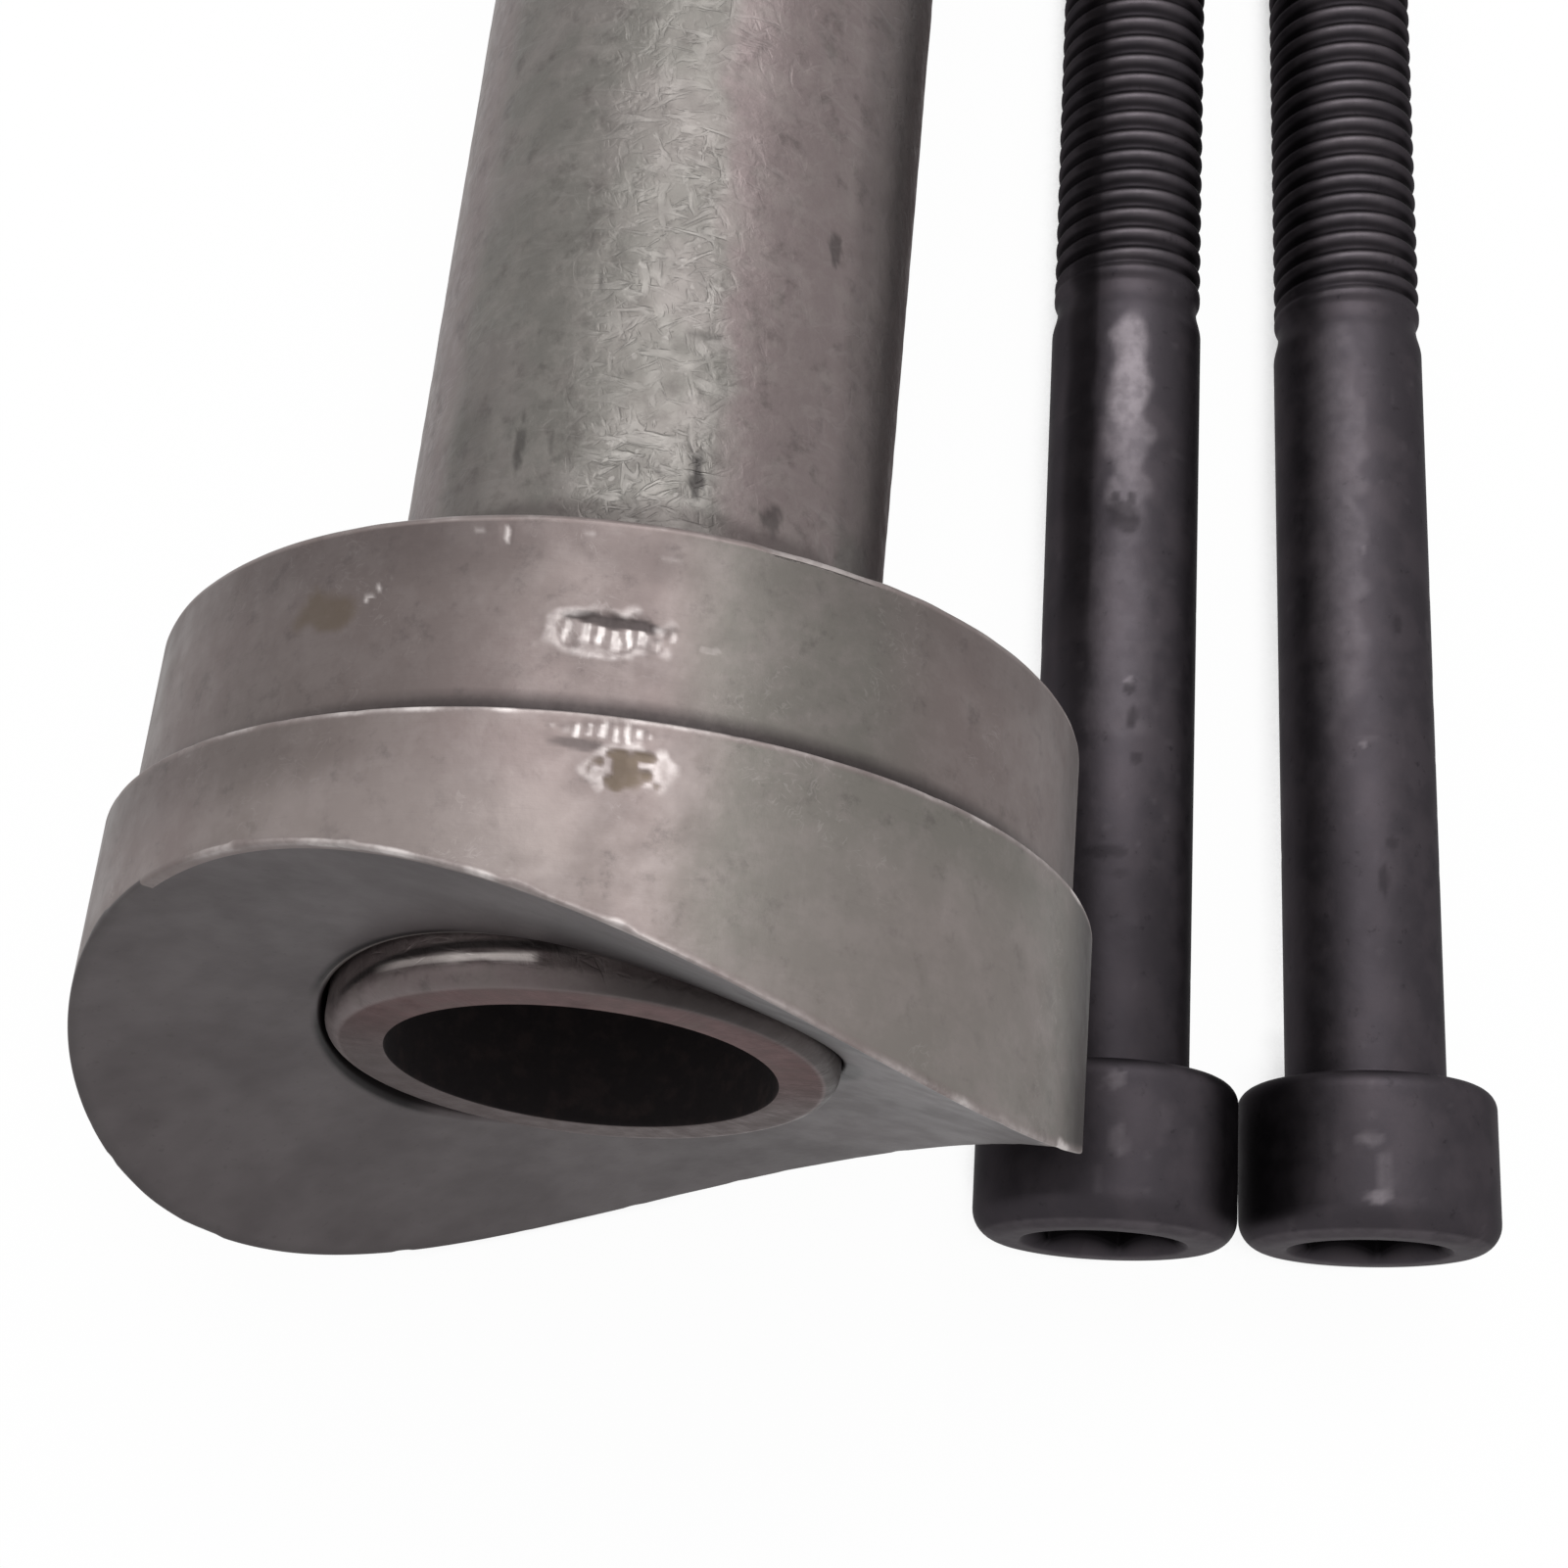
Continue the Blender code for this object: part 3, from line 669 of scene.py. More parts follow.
def screw_rows():
    """Rows of a whole screw, from its socket to its point."""
    rows = head_rows()
    rows += worn_edge((SHANK + 0.3, 0.0), (SHANK, 0.0), (SHANK, 0.35), 4)
    rows += straight((SHANK, 0.35), (SHANK, NECK_START - 0.2), 230)
    for height in np.linspace(NECK_START, THREAD_START + 0.2, 22):
        waist = ramp(height, NECK_START, NECK_START + 1.9) * ramp(height, THREAD_START, NECK_START + 2.2)
        edge = SHANK + (THREAD - SHANK) * ramp(height, NECK_START, THREAD_START)
        rows.append((edge - (edge - NECK) * waist, height))
    for height in np.arange(THREAD_START + 0.3, POINT_START, PITCH / ROWS_PER_TURN):
        rows.append((thread_radius(screw_turns, height), height))
    end = thread_radius(screw_turns, POINT_START)
    rows += worn_edge((end, POINT_START), (end - 0.15, SCREW_END - 0.1), (POINT, SCREW_END), 5)
    rows += straight((POINT, SCREW_END), (0.2, SCREW_END), 3)
    return rows


# %% Make a screw with its rubs and painted highlights, its spots and its painted shade
def make_screw(name, axis, seed, rubs_and_highlights, spots, shadowed, facing):
    """One screw. Rubs are bright, partly painted highlights, and spots dark: (turn, height, half wide, half
    high, strength).

    shadowed is how much painted shade darkens its flanks, its lower end and the left of its head.
    facing is the painted shade on its head, towards the other screw: (turn it starts at, full turn,
    strength).
    """
    radii, heights = spread(screw_rows(), screw_turns)
    round_arcs = np.radians(screw_turns) * radii
    round_turns = screw_turns + 3.0 * smooth_noise(round_arcs, heights, 2.5, seed + 3)
    on_head = heights < 0
    on_shank = heights > 0
    plain = (radii > SHANK - 0.01) & (heights < NECK_START) & (heights > 0.5)
    radii = radii - 0.015 * ramp(smooth_noise(round_arcs, heights, 1.3, seed), 0.45, 0.9) * plain
    in_thread = (heights > THREAD_START) * ramp(heights, THREAD_START, THREAD_START + 1.0)
    in_groove = np.clip((THREAD - radii) / THREAD_DEPTH, 0.0, 1.0)

    # Painted highlights on the thread's crests, only where the light falls on them.
    crest_highlights = 0.32 * around(screw_turns, -12.0, 40.0, 15.0) * ramp(in_groove, 0.5, 0.0)
    on_face = (heights < -HEAD_HEIGHT + 0.3) * (radii > SOCKET_MOUTH - 0.1)
    wear_and_highlight = np.maximum.reduce([
        0.12 * ramp(smooth_noise(round_arcs, heights, 1.0, seed + 1), 0.72, 0.97),
        in_thread * crest_highlights, 0.3 * on_face])

    # Painted shade: flanks, lower end and left of the head by shadowed, the heads' facing sides, the socket,
    # and the thread's roots, darker towards the flanks.
    left_flank = ramp(round_turns, -38.0, -43.0) * ramp(round_turns, -74.0, -60.0) * ramp(heights, 20.0, 34.0)
    right_flank = 0.7 * ramp(round_turns, 14.0, 42.0) * on_shank * (heights < NECK_START)
    low_end = 0.6 * ramp(heights, 21.0, 8.0) * on_shank
    head_left = ramp(round_turns, 4.0, -26.0) * on_head * (0.25 + 0.5 * ramp(heights, -9.0, -6.0))
    start, full, strength = facing
    beside = strength * ramp(round_turns, start, full) * on_head
    roots = 0.05 + 0.62 * ramp(in_groove, 0.15, 0.8) + 0.3 * around(screw_turns, -8.0, 30.0, 50.0)
    in_socket = heights < -HEAD_HEIGHT + SOCKET_DEPTH + 3.0
    spots_and_shade = np.maximum.reduce([
        in_socket * ramp(radii, SOCKET_MOUTH - 0.2, SOCKET_MOUTH - 0.6),
        shadowed * np.maximum.reduce([left_flank, right_flank, low_end, head_left]),
        beside * ramp(heights, -HEAD_HEIGHT + 0.2, -HEAD_HEIGHT + 1.8),
        in_thread * roots])

    for layer, places, ragged, cell in ((wear_and_highlight, rubs_and_highlights, 0.3, 1.2), (spots_and_shade, spots, 0.4, 0.9)):
        for turn, height, half_wide, half_high, strength in places:
            place = arc_at(turn, HEAD if height < 0 else SHANK)
            mark = patch(round_arcs, heights, place, height, half_wide, half_high, ragged, cell, seed + 2)
            np.maximum(layer, strength * mark * (radii > SHANK - 0.1), out=layer)
    screw = woven_piece(name, screw_turns, radii, heights, axis, closed=False, crease=40.0)
    paint_points(screw, {"wear_and_highlight": wear_and_highlight, "spots_and_shade": spots_and_shade})
    return screw


# %% Make both screws
# Rubs on the screws: some are wear, and some broaden the lamp's highlight as painted highlights.
LEFT_RUBS_AND_HIGHLIGHTS = (
    (-15.0, 48.4, 1.3, 2.3, 0.7), (-15.0, 45.4, 1.5, 3.0, 0.8), (-14.0, 41.5, 1.6, 3.4, 0.45),
    (-12.0, 38.0, 1.6, 1.8, 0.35), (-17.0, 28.0, 2.4, 8.0, 0.14), (-14.0, -1.6, 0.5, 0.5, 0.5),
    (-12.0, -5.0, 0.5, 0.9, 0.3), (-10.0, 24.6, 0.2, 0.4, 0.5))
LEFT_SPOTS = (
    (-17.0, 35.9, 1.1, 1.1, 0.5), (-23.0, 37.4, 0.35, 0.4, 0.5), (-11.0, 37.3, 0.3, 0.5, 0.5),
    (-9.0, 24.2, 0.35, 0.5, 0.5), (-6.0, 22.4, 0.4, 0.8, 0.5), (-22.0, 13.4, 1.3, 0.5, 0.5),
    (-12.0, 12.0, 0.7, 0.4, 0.4), (-4.0, 19.6, 0.4, 0.35, 0.35))
LEFT_FACING = (20.0, 48.0, 0.85)
RIGHT_RUBS_AND_HIGHLIGHTS = (
    (-34.0, 38.0, 2.0, 15.0, 0.2), (-23.0, -4.4, 0.9, 0.5, 0.35), (-20.0, -7.9, 0.8, 0.4, 0.55),
    (-16.0, -6.6, 0.5, 1.4, 0.25), (-19.0, 21.6, 0.25, 0.3, 0.4), (-16.0, 35.0, 0.2, 0.5, 0.3),
    (-16.0, 43.0, 0.3, 0.6, 0.2))
RIGHT_SPOTS = ((-7.0, 12.6, 0.35, 1.2, 0.45), (0.0, 15.0, 0.3, 0.4, 0.3), (10.0, 30.0, 0.3, 0.5, 0.25))
RIGHT_FACING = (-36.0, -62.0, 0.55)
left_screw = make_screw(
    "draw_screw_left_threaded", LEFT_SCREW_AXIS, 51, LEFT_RUBS_AND_HIGHLIGHTS, LEFT_SPOTS, 0.6, LEFT_FACING)
right_screw = make_screw(
    "draw_screw_right_threaded", RIGHT_SCREW_AXIS, 61, RIGHT_RUBS_AND_HIGHLIGHTS, RIGHT_SPOTS, 0.1, RIGHT_FACING)

# %% Compare each piece with the CAD node that it stands for
NODES = (
    (foot, "foot", "turned_steel"), (pipe, "tube", "pipe_steel"), (end_cap, "end_cap", "pipe_steel"),
    (left_screw, "draw_screw_left", "black_steel"), (right_screw, "draw_screw_right", "black_steel"))
bpy.context.view_layer.update()
for piece, node, slot in NODES:
    places = np.array([piece.matrix_world @ vertex.co for vertex in piece.data.vertices])
    low, high = (np.array(corner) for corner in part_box(node))
    print(node, "low off by, mm:", np.round((places.min(axis=0) - low) * 1000, 2),
          "high off by:", np.round((places.max(axis=0) - high) * 1000, 2))

# %% [markdown]
# ## Tools for building finishes
# A finish is a small network of nodes. These helpers add one node at a time with its inputs filled in, so
# each finish below reads like a recipe. Textures are placed by the piece's own coordinates in millimetres,
# and also on the surface rolled out flat, so that tool marks run round a ring and scratches lie on it.

# %% Node helpers
def screen(red, green, blue):
    """A colour as seen on screen, 0 to 255, as the linear colour that a shader wants."""
    linear = [((part / 255 + 0.055) / 1.055) ** 2.4 for part in (red, green, blue)]
    return (*linear, 1.0)


def feed(socket, value):
    """Give a socket a plain value or another node's output."""
    if isinstance(value, bpy.types.NodeSocket):
        socket.id_data.links.new(value, socket)
    else:
        socket.default_value = value


def add_node(tree, kind, inputs=None, **settings):
    """Add a shader node, with its settings and its inputs filled in."""
    item = tree.nodes.new("ShaderNode" + kind)
    for name, value in settings.items():
        setattr(item, name, value)
    for name, value in (inputs or {}).items():
        feed(item.inputs[name], value)
    return item


def sums(operation, first, second=0.0):
    """The output of a Math node. Like the helpers below, it is added where its first input is."""
    return add_node(first.id_data, "Math", {0: first, 1: second}, operation=operation).outputs[0]


def product(first, second):
    """One amount times another."""
    return sums("MULTIPLY", first, second)


def grains(where, size, detail=3.0, roughness=0.55, distortion=0.0):
    """Noise with lumps of that size in mm."""
    return add_node(where.id_data, "TexNoise", {
        "Vector": where, "Scale": 1.0 / size, "Detail": detail, "Roughness": roughness,
        "Distortion": distortion}).outputs[0]


def between(value, low, high, start=0.0, stop=1.0):
    """Turn low..high into start..stop, smoothly, and hold it beyond."""
    return add_node(value.id_data, "MapRange", {
        "Value": value, "From Min": low, "From Max": high, "To Min": start, "To Max": stop},
        interpolation_type="SMOOTHSTEP").outputs[0]


def clouds(where, size, low, high, start=0.0, stop=1.0, detail=3.0, roughness=0.55):
    """Noise with lumps of that size in mm, with its low..high turned into start..stop."""
    return between(grains(where, size, detail, roughness), low, high, start, stop)


def blend_colours(amount, under, over):
    """Lay one colour over another by an amount."""
    return add_node(amount.id_data, "Mix", {0: amount, 6: under, 7: over}, data_type="RGBA").outputs[2]


def layered(under, layers):
    """Lay colours over the first one in turn. Each layer is (amount, colour)."""
    for amount, colour in layers:
        under = blend_colours(amount, under, colour)
    return under


def stretch(where, scale):
    """Squeeze or stretch places before a texture reads them."""
    return add_node(where.id_data, "VectorMath", {0: where, 1: scale}, operation="MULTIPLY").outputs[0]


def painted(tree, name):
    """The amounts that were painted on the points."""
    return add_node(tree, "Attribute", attribute_name=name).outputs["Fac"]


# %% Places in millimetres, in the solid and rolled out
def solid_places(tree):
    """The places in mm that each woven piece keeps from before it was laid down."""
    return add_node(tree, "Attribute", attribute_name="own_place").outputs["Vector"]


def rolled_places(where, radius):
    """Distance round the piece from its top, and along it, in mm."""
    parts = add_node(where.id_data, "SeparateXYZ", {0: where}).outputs
    angle = sums("ARCTAN2", parts[0], product(parts[1], -1.0))
    return add_node(where.id_data, "CombineXYZ", {0: product(angle, radius), 1: parts[2]}).outputs[0]


def turned(where, turn):
    """Rolled-out places, turned by that many degrees."""
    return add_node(where.id_data, "VectorRotate", {"Vector": where, "Angle": math.radians(turn)},
                    rotation_type="Z_AXIS").outputs[0]


def drawn_out(where, length, width, detail, roughness, distortion):
    """Noise whose lumps are drawn out to length by width, in mm."""
    where = stretch(where, (1.0 / length, 1.0 / width, 1.0))
    return grains(where, 1.0, detail, roughness, distortion)


def strokes(where, turn, length, width):
    """Short crooked scratches: where drawn-out noise passes through its middle, broken by more noise."""
    where = turned(where, turn)
    noise = drawn_out(where, length, width, 1.5, 0.5, 1.2)
    from_middle = sums("ABSOLUTE", sums("SUBTRACT", noise, 0.5))
    gaps = grains(where, 0.9 * width + 0.3, 1.0)
    return product(between(from_middle, 0.03, 0.0), between(gaps, 0.5, 0.6))


def folds(where, turn, length, width):
    """Short raised folds of metal: the upper part of crooked noise that is drawn out along one way."""
    noise = drawn_out(turned(where, turn), length, width, 2.5, 0.55, 0.8)
    return between(noise, 0.5, 0.68)


# %% Start and finish a material
def new_finish(name):
    """An empty material with its shader. Returns the material, its node tree and the shader."""
    finish = bpy.data.materials.new(name)
    finish.use_nodes = True
    return finish, finish.node_tree, finish.node_tree.nodes["Principled BSDF"]


def dress(shader, values, relief, distance):
    """Give the shader its values by socket name, and bump its surface by relief times distance, in mm."""
    for name, value in values.items():
        feed(shader.inputs[name], value)
    bump = add_node(shader.id_data, "Bump", {"Height": relief, "Distance": distance * MM, "Strength": 1.0})
    feed(shader.inputs["Normal"], bump.outputs[0])
    print("nodes in this finish:", len(shader.id_data.nodes))


# %% [markdown]
# ## Turned steel
# The foot's rings are turned bright steel that has been handled and stored: a warm grey with faint green
# and pale patches, fine rings from the lathe, thin bright edges, brown spots, and dirt with painted shade
# in the corner of the step. Noise of three sizes gives the pale and the dirty patches. The green, the dirt,
# the stains and the bright places are painted on the points, because they have their places on the real
# foot. So are a painted sheen, painted highlights on the lit edges and in the pits, and painted shade in
# the pits, round the hole and on the sides turned away from the light.

# %% The turned steel finish
WARM_GREY = screen(114, 103, 101)
GREEN_GREY = screen(108, 104, 99)
PALE_GREY = screen(132, 123, 121)
SHEEN_GREY = screen(150, 141, 138)
BRIGHT_STEEL_AND_HIGHLIGHT = screen(196, 189, 187)
BROWN_STAIN = screen(84, 73, 62)
DARK_GRIME_AND_SHADE = screen(50, 44, 44)

turned_steel, tree, shader = new_finish("turned_steel_handled")
solid = solid_places(tree)
rolled = rolled_places(solid, SMALL_RING)
turning = grains(stretch(rolled, (0.05, 1.0, 1.0)), 0.12, 2.0)
rubbed = sums("MAXIMUM", strokes(rolled, 25.0, 1.4, 0.7), strokes(rolled, -50.0, 1.2, 0.6))
rubbed = product(rubbed, clouds(solid, 6.0, 0.5, 0.62, 0.0, 0.1, 2.0))
ragged = clouds(solid, 0.4, 0.3, 0.7, 0.97, 1.04, 3.0, 0.6)
flecks = clouds(solid, 0.4, 0.36, 0.6, 0.84, 1.05, 1.5, 0.5)
tint = layered(WARM_GREY, (
    (painted(tree, "green"), GREEN_GREY),
    (clouds(solid, 5.0, 0.5, 0.72, 0.0, 0.5, 4.0, 0.6), PALE_GREY),
    (clouds(solid, 2.0, 0.42, 0.66, 0.0, 0.32, 5.0, 0.7), PALE_GREY),
    (clouds(solid, 1.4, 0.53, 0.75, 0.0, 0.34, 5.0, 0.7), DARK_GRIME_AND_SHADE),
    (painted(tree, "painted_sheen"), SHEEN_GREY),
    (between(turning, 0.55, 0.75, 0.0, 0.05), DARK_GRIME_AND_SHADE),
    (rubbed, BRIGHT_STEEL_AND_HIGHLIGHT),
    (product(painted(tree, "grime_and_shade"), ragged), DARK_GRIME_AND_SHADE),
    (product(painted(tree, "stain"), ragged), BROWN_STAIN),
    (between(product(painted(tree, "wear_and_highlight"), flecks), 0.08, 0.95), BRIGHT_STEEL_AND_HIGHLIGHT)))
relief = sums("ADD", product(turning, 0.12), grains(solid, 0.9, 4.0, 0.6))
relief = sums("ADD", relief, product(rubbed, 0.8))
gloss = clouds(solid, 3.0, 0.3, 0.7, 0.42, 0.55, 4.0)
dress(shader, {"Base Color": tint, "Metallic": 0.75, "Roughness": gloss}, relief, 0.018)

# %% [markdown]
# ## The milled saddle
# The saddle face was cut in one pass and oiled: it is smoother and more even than the rings, and darker,
# partly as painted shade for a face turned away from the light. It is the same piece of steel, so it is a
# second material on the foot's own faces and not a separate object.

# %% The saddle's finish, and the foot's faces that take it
SADDLE_GREY = screen(86, 80, 81)
SADDLE_DARK = screen(76, 70, 71)
SADDLE_GRIME_AND_SHADE = screen(22, 18, 19)
SADDLE_WORN = screen(150, 144, 140)

shaded_saddle_steel, tree, shader = new_finish("milled_saddle_shaded")
solid = solid_places(tree)
tint = layered(SADDLE_GREY, (
    (clouds(solid, 7.0, 0.35, 0.65), SADDLE_DARK),
    (clouds(solid, 0.4, 0.62, 0.75, 0.0, 0.25), DARK_GRIME_AND_SHADE),
    (painted(tree, "grime_and_shade"), SADDLE_GRIME_AND_SHADE),
    (painted(tree, "wear_and_highlight"), SADDLE_WORN)))
gloss = clouds(solid, 2.0, 0.3, 0.7, 0.46, 0.54)
relief = grains(solid, 0.5, 4.0, 0.6)
dress(shader, {"Base Color": tint, "Metallic": 0.7, "Roughness": gloss}, relief, 0.01)

foot.data.materials.append(turned_steel)
foot.data.materials.append(shaded_saddle_steel)
# The rim's edges far from the lit turn take this darker finish too: painted shade.
low_rim = edge_rows * (foot_heights < -1.0) * (np.abs(foot_turns - LIT_TURN) > 78.0)
in_saddle = np.maximum(low_rim, rows_of("seat", "mouth", "hole"))
foot.data.polygons.foreach_set("material_index", in_saddle.astype(np.int32).ravel())

# %% [markdown]
# ## Pipe steel
# The pipe still has its mill skin: green grey on the left, purple grey on the right and browner beyond,
# with painted shade towards its right edge and just above the foot, and rougher than the foot. Along its
# top a strip is scuffed into many short crooked folds and painted a little paler, a painted highlight. Three
# sets of folds at different turns, strongest on the painted strip, look like that scuffing, with a few bright
# specks between them. The cut face of the nose is duller, so its reflections are tinted down there and on
# the pipe's right edge, which is painted shade; the nose's side and face are painted darker as shade too.

# %% The pipe steel finish
PIPE_GREEN = screen(98, 95, 91)
PIPE_GREY = screen(105, 100, 97)
PIPE_PURPLE = screen(112, 100, 100)
PIPE_BROWN_AND_SHADE = screen(55, 48, 47)
PIPE_PALE = screen(132, 126, 122)
PIPE_GRIME_AND_SHADE = screen(26, 22, 22)
PIPE_WEAR_AND_HIGHLIGHT = screen(240, 230, 226)
STRIP_HIGHLIGHT = screen(150, 147, 143)
FOLD_PALE = screen(172, 168, 164)
SPECK_PALE = screen(190, 186, 182)
WHITE = (1.0, 1.0, 1.0, 1.0)
DULL_SHEEN = (0.6, 0.42, 0.42, 1.0)

pipe_steel, tree, shader = new_finish("pipe_steel_mottled")
solid = solid_places(tree)
rolled = rolled_places(solid, PIPE)
scuff_and_highlight = painted(tree, "scuff_and_highlight")
wear_and_highlight = painted(tree, "wear_and_highlight")
cross = folds(rolled, 6.0, 2.8, 0.8)
for turn, length, width in ((-34.0, 2.0, 0.7), (74.0, 1.8, 0.75)):
    cross = sums("MAXIMUM", cross, product(folds(rolled, turn, length, width), 0.8))
everywhere = clouds(solid, 4.0, 0.45, 0.65, 0.12, 0.35, 2.0)
rubbed = product(cross, sums("MAXIMUM", scuff_and_highlight, everywhere))
specks = clouds(solid, 0.6, 0.64, 0.72, 0.0, 0.22, 1.5, 0.5)
tint = layered(PIPE_GREEN, (
    (clouds(solid, 7.0, 0.45, 0.62), PIPE_GREY),
    (painted(tree, "purple"), PIPE_PURPLE),
    (clouds(solid, 1.6, 0.5, 0.72, 0.0, 0.45, 5.0, 0.65), PIPE_BROWN_AND_SHADE),
    (clouds(solid, 2.4, 0.45, 0.65, 0.0, 0.25, 5.0, 0.7), PIPE_PALE),
    (product(scuff_and_highlight, 0.06), STRIP_HIGHLIGHT),
    (product(rubbed, 0.25), FOLD_PALE),
    (product(scuff_and_highlight, specks), SPECK_PALE),
    (painted(tree, "brown_and_shade"), PIPE_BROWN_AND_SHADE),
    (painted(tree, "grime_and_shade"), PIPE_GRIME_AND_SHADE),
    (wear_and_highlight, PIPE_WEAR_AND_HIGHLIGHT)))
relief = sums("ADD", grains(solid, 0.9, 4.0, 0.6), product(rubbed, 1.2))
dress(shader, {
    "Base Color": tint,
    "Metallic": between(wear_and_highlight, 0.3, 1.0, 0.7, 0.3),
    "Specular Tint": blend_colours(painted(tree, "matt_and_shade"), WHITE, DULL_SHEEN),
    "Roughness": clouds(solid, 1.2, 0.3, 0.7, 0.42, 0.56, 4.0)}, relief, 0.048)

# %% The bore's own finish, black with scale that no tool reaches and with painted shade inside the hole
SCALE_AND_SHADE_BLACK = screen(38, 34, 35)
SCALE_BROWN = screen(48, 41, 41)

bore_scale_and_shade, tree, shader = new_finish("bore_scale_and_shade")
solid = solid_places(tree)
rust = clouds(solid, 1.2, 0.45, 0.7, 0.0, 1.0, 4.0)
dress(shader, {
    "Base Color": blend_colours(rust, SCALE_AND_SHADE_BLACK, SCALE_BROWN),
    "Specular IOR Level": 0.1,
    "Roughness": clouds(solid, 0.8, 0.3, 0.7, 0.85, 0.95)}, grains(solid, 0.5, 4.0, 0.7), 0.03)

pipe.data.materials.append(pipe_steel)
pipe.data.materials.append(bore_scale_and_shade)
in_bore = np.array([radius < BORE + 0.05 for radius, height in pipe_rows])
pipe.data.polygons.foreach_set("material_index", np.repeat(in_bore, pipe_turns.size).astype(np.int32))
end_cap.data.materials.append(turned_steel)

# %% [markdown]
# ## Black oxide
# The screws are heat treated and blackened in a bath: nearly black with a hint of purple, slightly oily,
# with paler rubbed places and a few darker spots. The colour stays very dark, and the soft sheen comes
# from the shader's own gloss, helped by painted highlights on some rubs and on the crests. Painted shade
# darkens the flanks, the lower end, the heads where they face each other, the socket and the thread's roots.

# %% The black oxide finish
OXIDE_BLACK = screen(61, 57, 61)
OXIDE_PALE = screen(69, 64, 68)
OXIDE_DARK = screen(40, 37, 40)
OXIDE_RUB_AND_HIGHLIGHT = screen(112, 106, 110)
OXIDE_SPOT_AND_SHADE = screen(20, 18, 20)
OXIDE_SHEEN = (0.5, 0.5, 0.5, 1.0)

black_oxide, tree, shader = new_finish("black_oxide")
solid = solid_places(tree)
along = stretch(rolled_places(solid, SHANK), (1.0, 0.35, 1.0))
ragged = clouds(solid, 0.9, 0.35, 0.65, 0.72, 1.12, 3.0, 0.5)
tint = layered(OXIDE_BLACK, (
    (clouds(solid, 3.0, 0.4, 0.65, 0.0, 1.0, 4.0), OXIDE_PALE),
    (clouds(solid, 1.0, 0.6, 0.72, 0.0, 0.5, 4.0, 0.7), OXIDE_DARK),
    (clouds(along, 0.8, 0.66, 0.8, 0.0, 0.12, 4.0, 0.7), OXIDE_RUB_AND_HIGHLIGHT),
    (product(painted(tree, "wear_and_highlight"), ragged), OXIDE_RUB_AND_HIGHLIGHT),
    (painted(tree, "spots_and_shade"), OXIDE_SPOT_AND_SHADE)))
dress(shader, {
    "Base Color": tint, "Metallic": 1.0, "Specular Tint": OXIDE_SHEEN,
    "Roughness": clouds(solid, 1.5, 0.3, 0.7, 0.5, 0.57, 4.0)},
    grains(solid, 0.7, 3.0, 0.6), 0.012)
for screw in (left_screw, right_screw):
    screw.data.materials.append(black_oxide)

# %% [markdown]
# ## Join the pieces to the model
# The set is one body, because nothing in it moves. Each woven piece rides on that body and hides the plain
# CAD node that it stands for.

# %% Ride and replace
for piece, node, slot in NODES:
    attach(piece, "root")
    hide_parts(node)
print("pieces:", [piece.name for piece, node, slot in NODES])

# %% [markdown]
# ## The bench, the light and the camera
# The photograph is a plain studio shot on white. A pale bench lies under the tool, and a part of its
# white is its own for the camera and for reflections, so that it stays white and still keeps a soft
# shadow. The main light is high at the back, which puts the bright strips where the steel has them and
# leaves the saddle in the shade. A weak one at the left lifts that side.

# %% The bench
REACH = 3.0
BENCH_DROP = 0.1 * MM
CONTACT = 6.0 * MM
BENCH_GREY = (0.86, 0.86, 0.86, 1.0)
BENCH_PALE = (0.9, 0.9, 0.9, 1.0)
bench_mesh = bpy.data.meshes.new("bench")
corners = [(-REACH, -REACH, 0.0), (REACH, -REACH, 0.0), (REACH, REACH, 0.0), (-REACH, REACH, 0.0)]
bench_mesh.from_pydata(corners, [], [(0, 1, 2, 3)])
bench = bpy.data.objects.new("bench", bench_mesh)
bench.location.z = -BENCH_DROP
show(bench)


def seen_directly(tree):
    """1 for what the camera, a reflection or a see-through ray meets, 0 for light that falls on things."""
    path = add_node(tree, "LightPath").outputs
    seen = sums("MAXIMUM", path["Is Camera Ray"], path["Is Glossy Ray"])
    return sums("MAXIMUM", seen, path["Is Transmission Ray"])


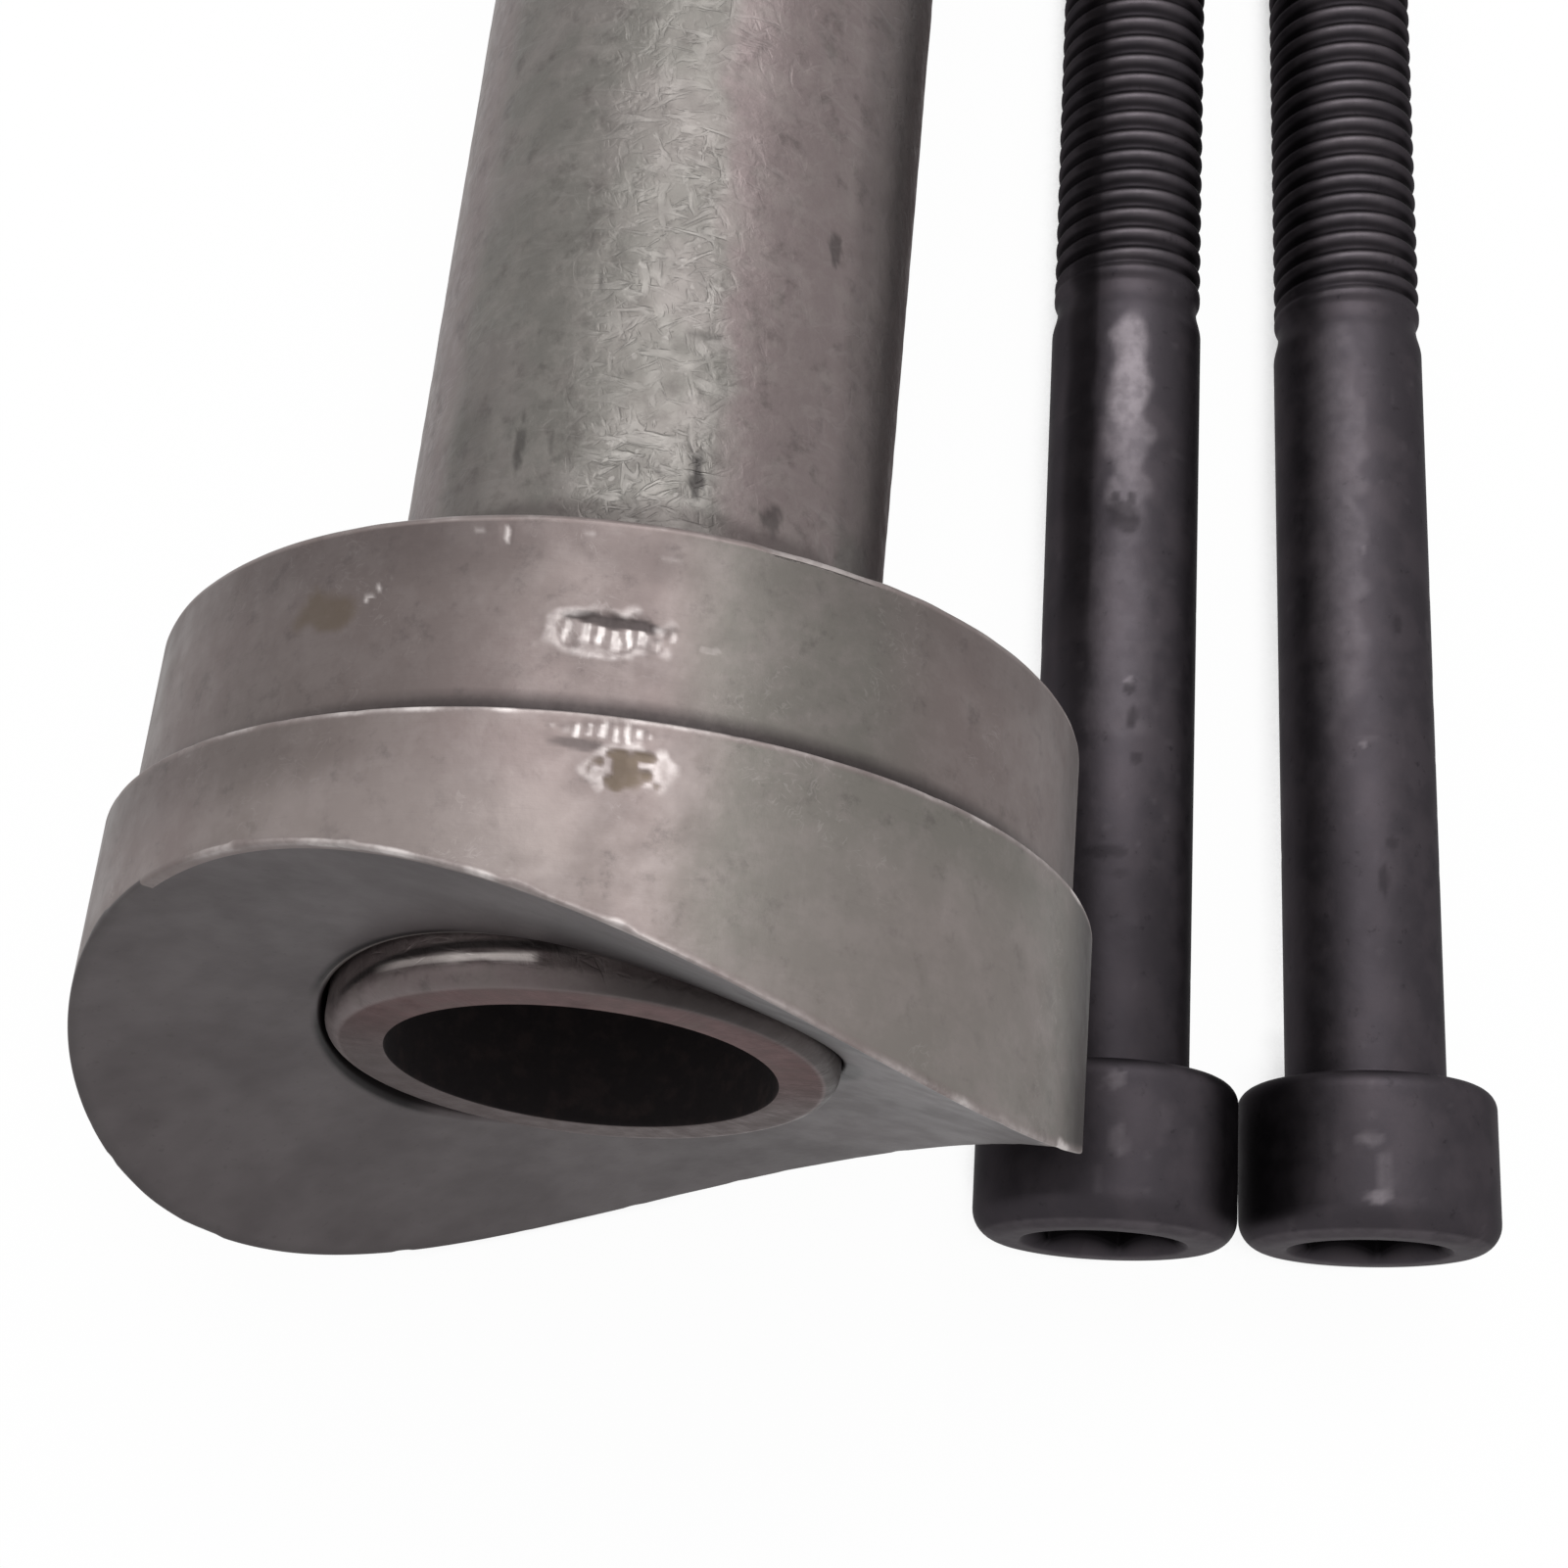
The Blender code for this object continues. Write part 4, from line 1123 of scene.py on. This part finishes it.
bench_white, tree, shader = new_finish("bench_white")
cloudy = grains(add_node(tree, "TexCoord").outputs["Object"], 0.06, 2.0)
shader.inputs["Roughness"].default_value = 0.9
feed(shader.inputs["Base Color"], blend_colours(cloudy, BENCH_GREY, BENCH_PALE))
glow = add_node(tree, "Emission", {"Color": WHITE, "Strength": 1.0})
open_to_room = add_node(tree, "AmbientOcclusion", {"Distance": CONTACT}, samples=8).outputs["AO"]
own_white = product(seen_directly(tree), between(open_to_room, 0.2, 0.45, 0.0, 0.97))
both = add_node(tree, "MixShader", {0: own_white, 1: shader.outputs[0], 2: glow.outputs[0]})
feed(tree.nodes["Material Output"].inputs["Surface"], both.outputs[0])
bench_mesh.materials.append(bench_white)

# %% The room
ROOM_LEVEL = 0.6
world = bpy.data.worlds.new("room")
bpy.context.scene.world = world
world.use_nodes = True
tree = world.node_tree
room_light = tree.nodes["Background"]
room_light.inputs["Color"].default_value = WHITE
level = add_node(tree, "MapRange", {"Value": seen_directly(tree), "To Min": ROOM_LEVEL, "To Max": 1.0})
feed(room_light.inputs["Strength"], level.outputs[0])

# %% The lamps
AIM = Vector((-0.005, -0.01, 0.02))


def soft_lamp(name, direction, distance, size, level):
    """A square lamp that far from the tool, turned towards it. level is in watts."""
    lamp = bpy.data.lights.new(name, "AREA")
    lamp.size = size
    lamp.energy = level
    holder = bpy.data.objects.new(name, lamp)
    holder.location = AIM + Vector(direction).normalized() * distance
    holder.rotation_euler = (AIM - holder.location).to_track_quat("-Z", "Y").to_euler()
    holder.visible_camera = False
    show(holder)
    print(name, "stands at", [round(value, 2) for value in holder.location], "m, level", level, "W")


soft_lamp("back_lamp", (-0.14, 0.55, 0.8), 0.75, 0.6, 4.4)
soft_lamp("left_lamp", (-0.9, 0.0, 0.5), 0.9, 0.6, 0.8)

# %% The camera
CAMERA_PLACE = Vector((-30.201, -80.733, 161.502)) * MM
LOOKING = Vector((0.156, 0.290, -0.944)).normalized()
RIGHTWARDS = Vector((0.974, 0.113, 0.196))
LENS = 60.0
SENSOR = 36.0
camera_data = bpy.data.cameras.new("photo_camera")
camera_data.lens = LENS
camera_data.sensor_width = SENSOR
camera_data.sensor_fit = "HORIZONTAL"
camera_data.clip_start = 0.01
camera = bpy.data.objects.new("photo_camera", camera_data)
level_right = (RIGHTWARDS - LOOKING * RIGHTWARDS.dot(LOOKING)).normalized()
turn_to = Matrix((level_right, level_right.cross(LOOKING), -LOOKING)).transposed().to_4x4()
camera.matrix_world = Matrix.Translation(CAMERA_PLACE) @ turn_to
show(camera)
bpy.context.scene.camera = camera
bpy.context.scene.view_settings.view_transform = "Standard"
print("camera at, mm:", [round(value / MM, 1) for value in CAMERA_PLACE])
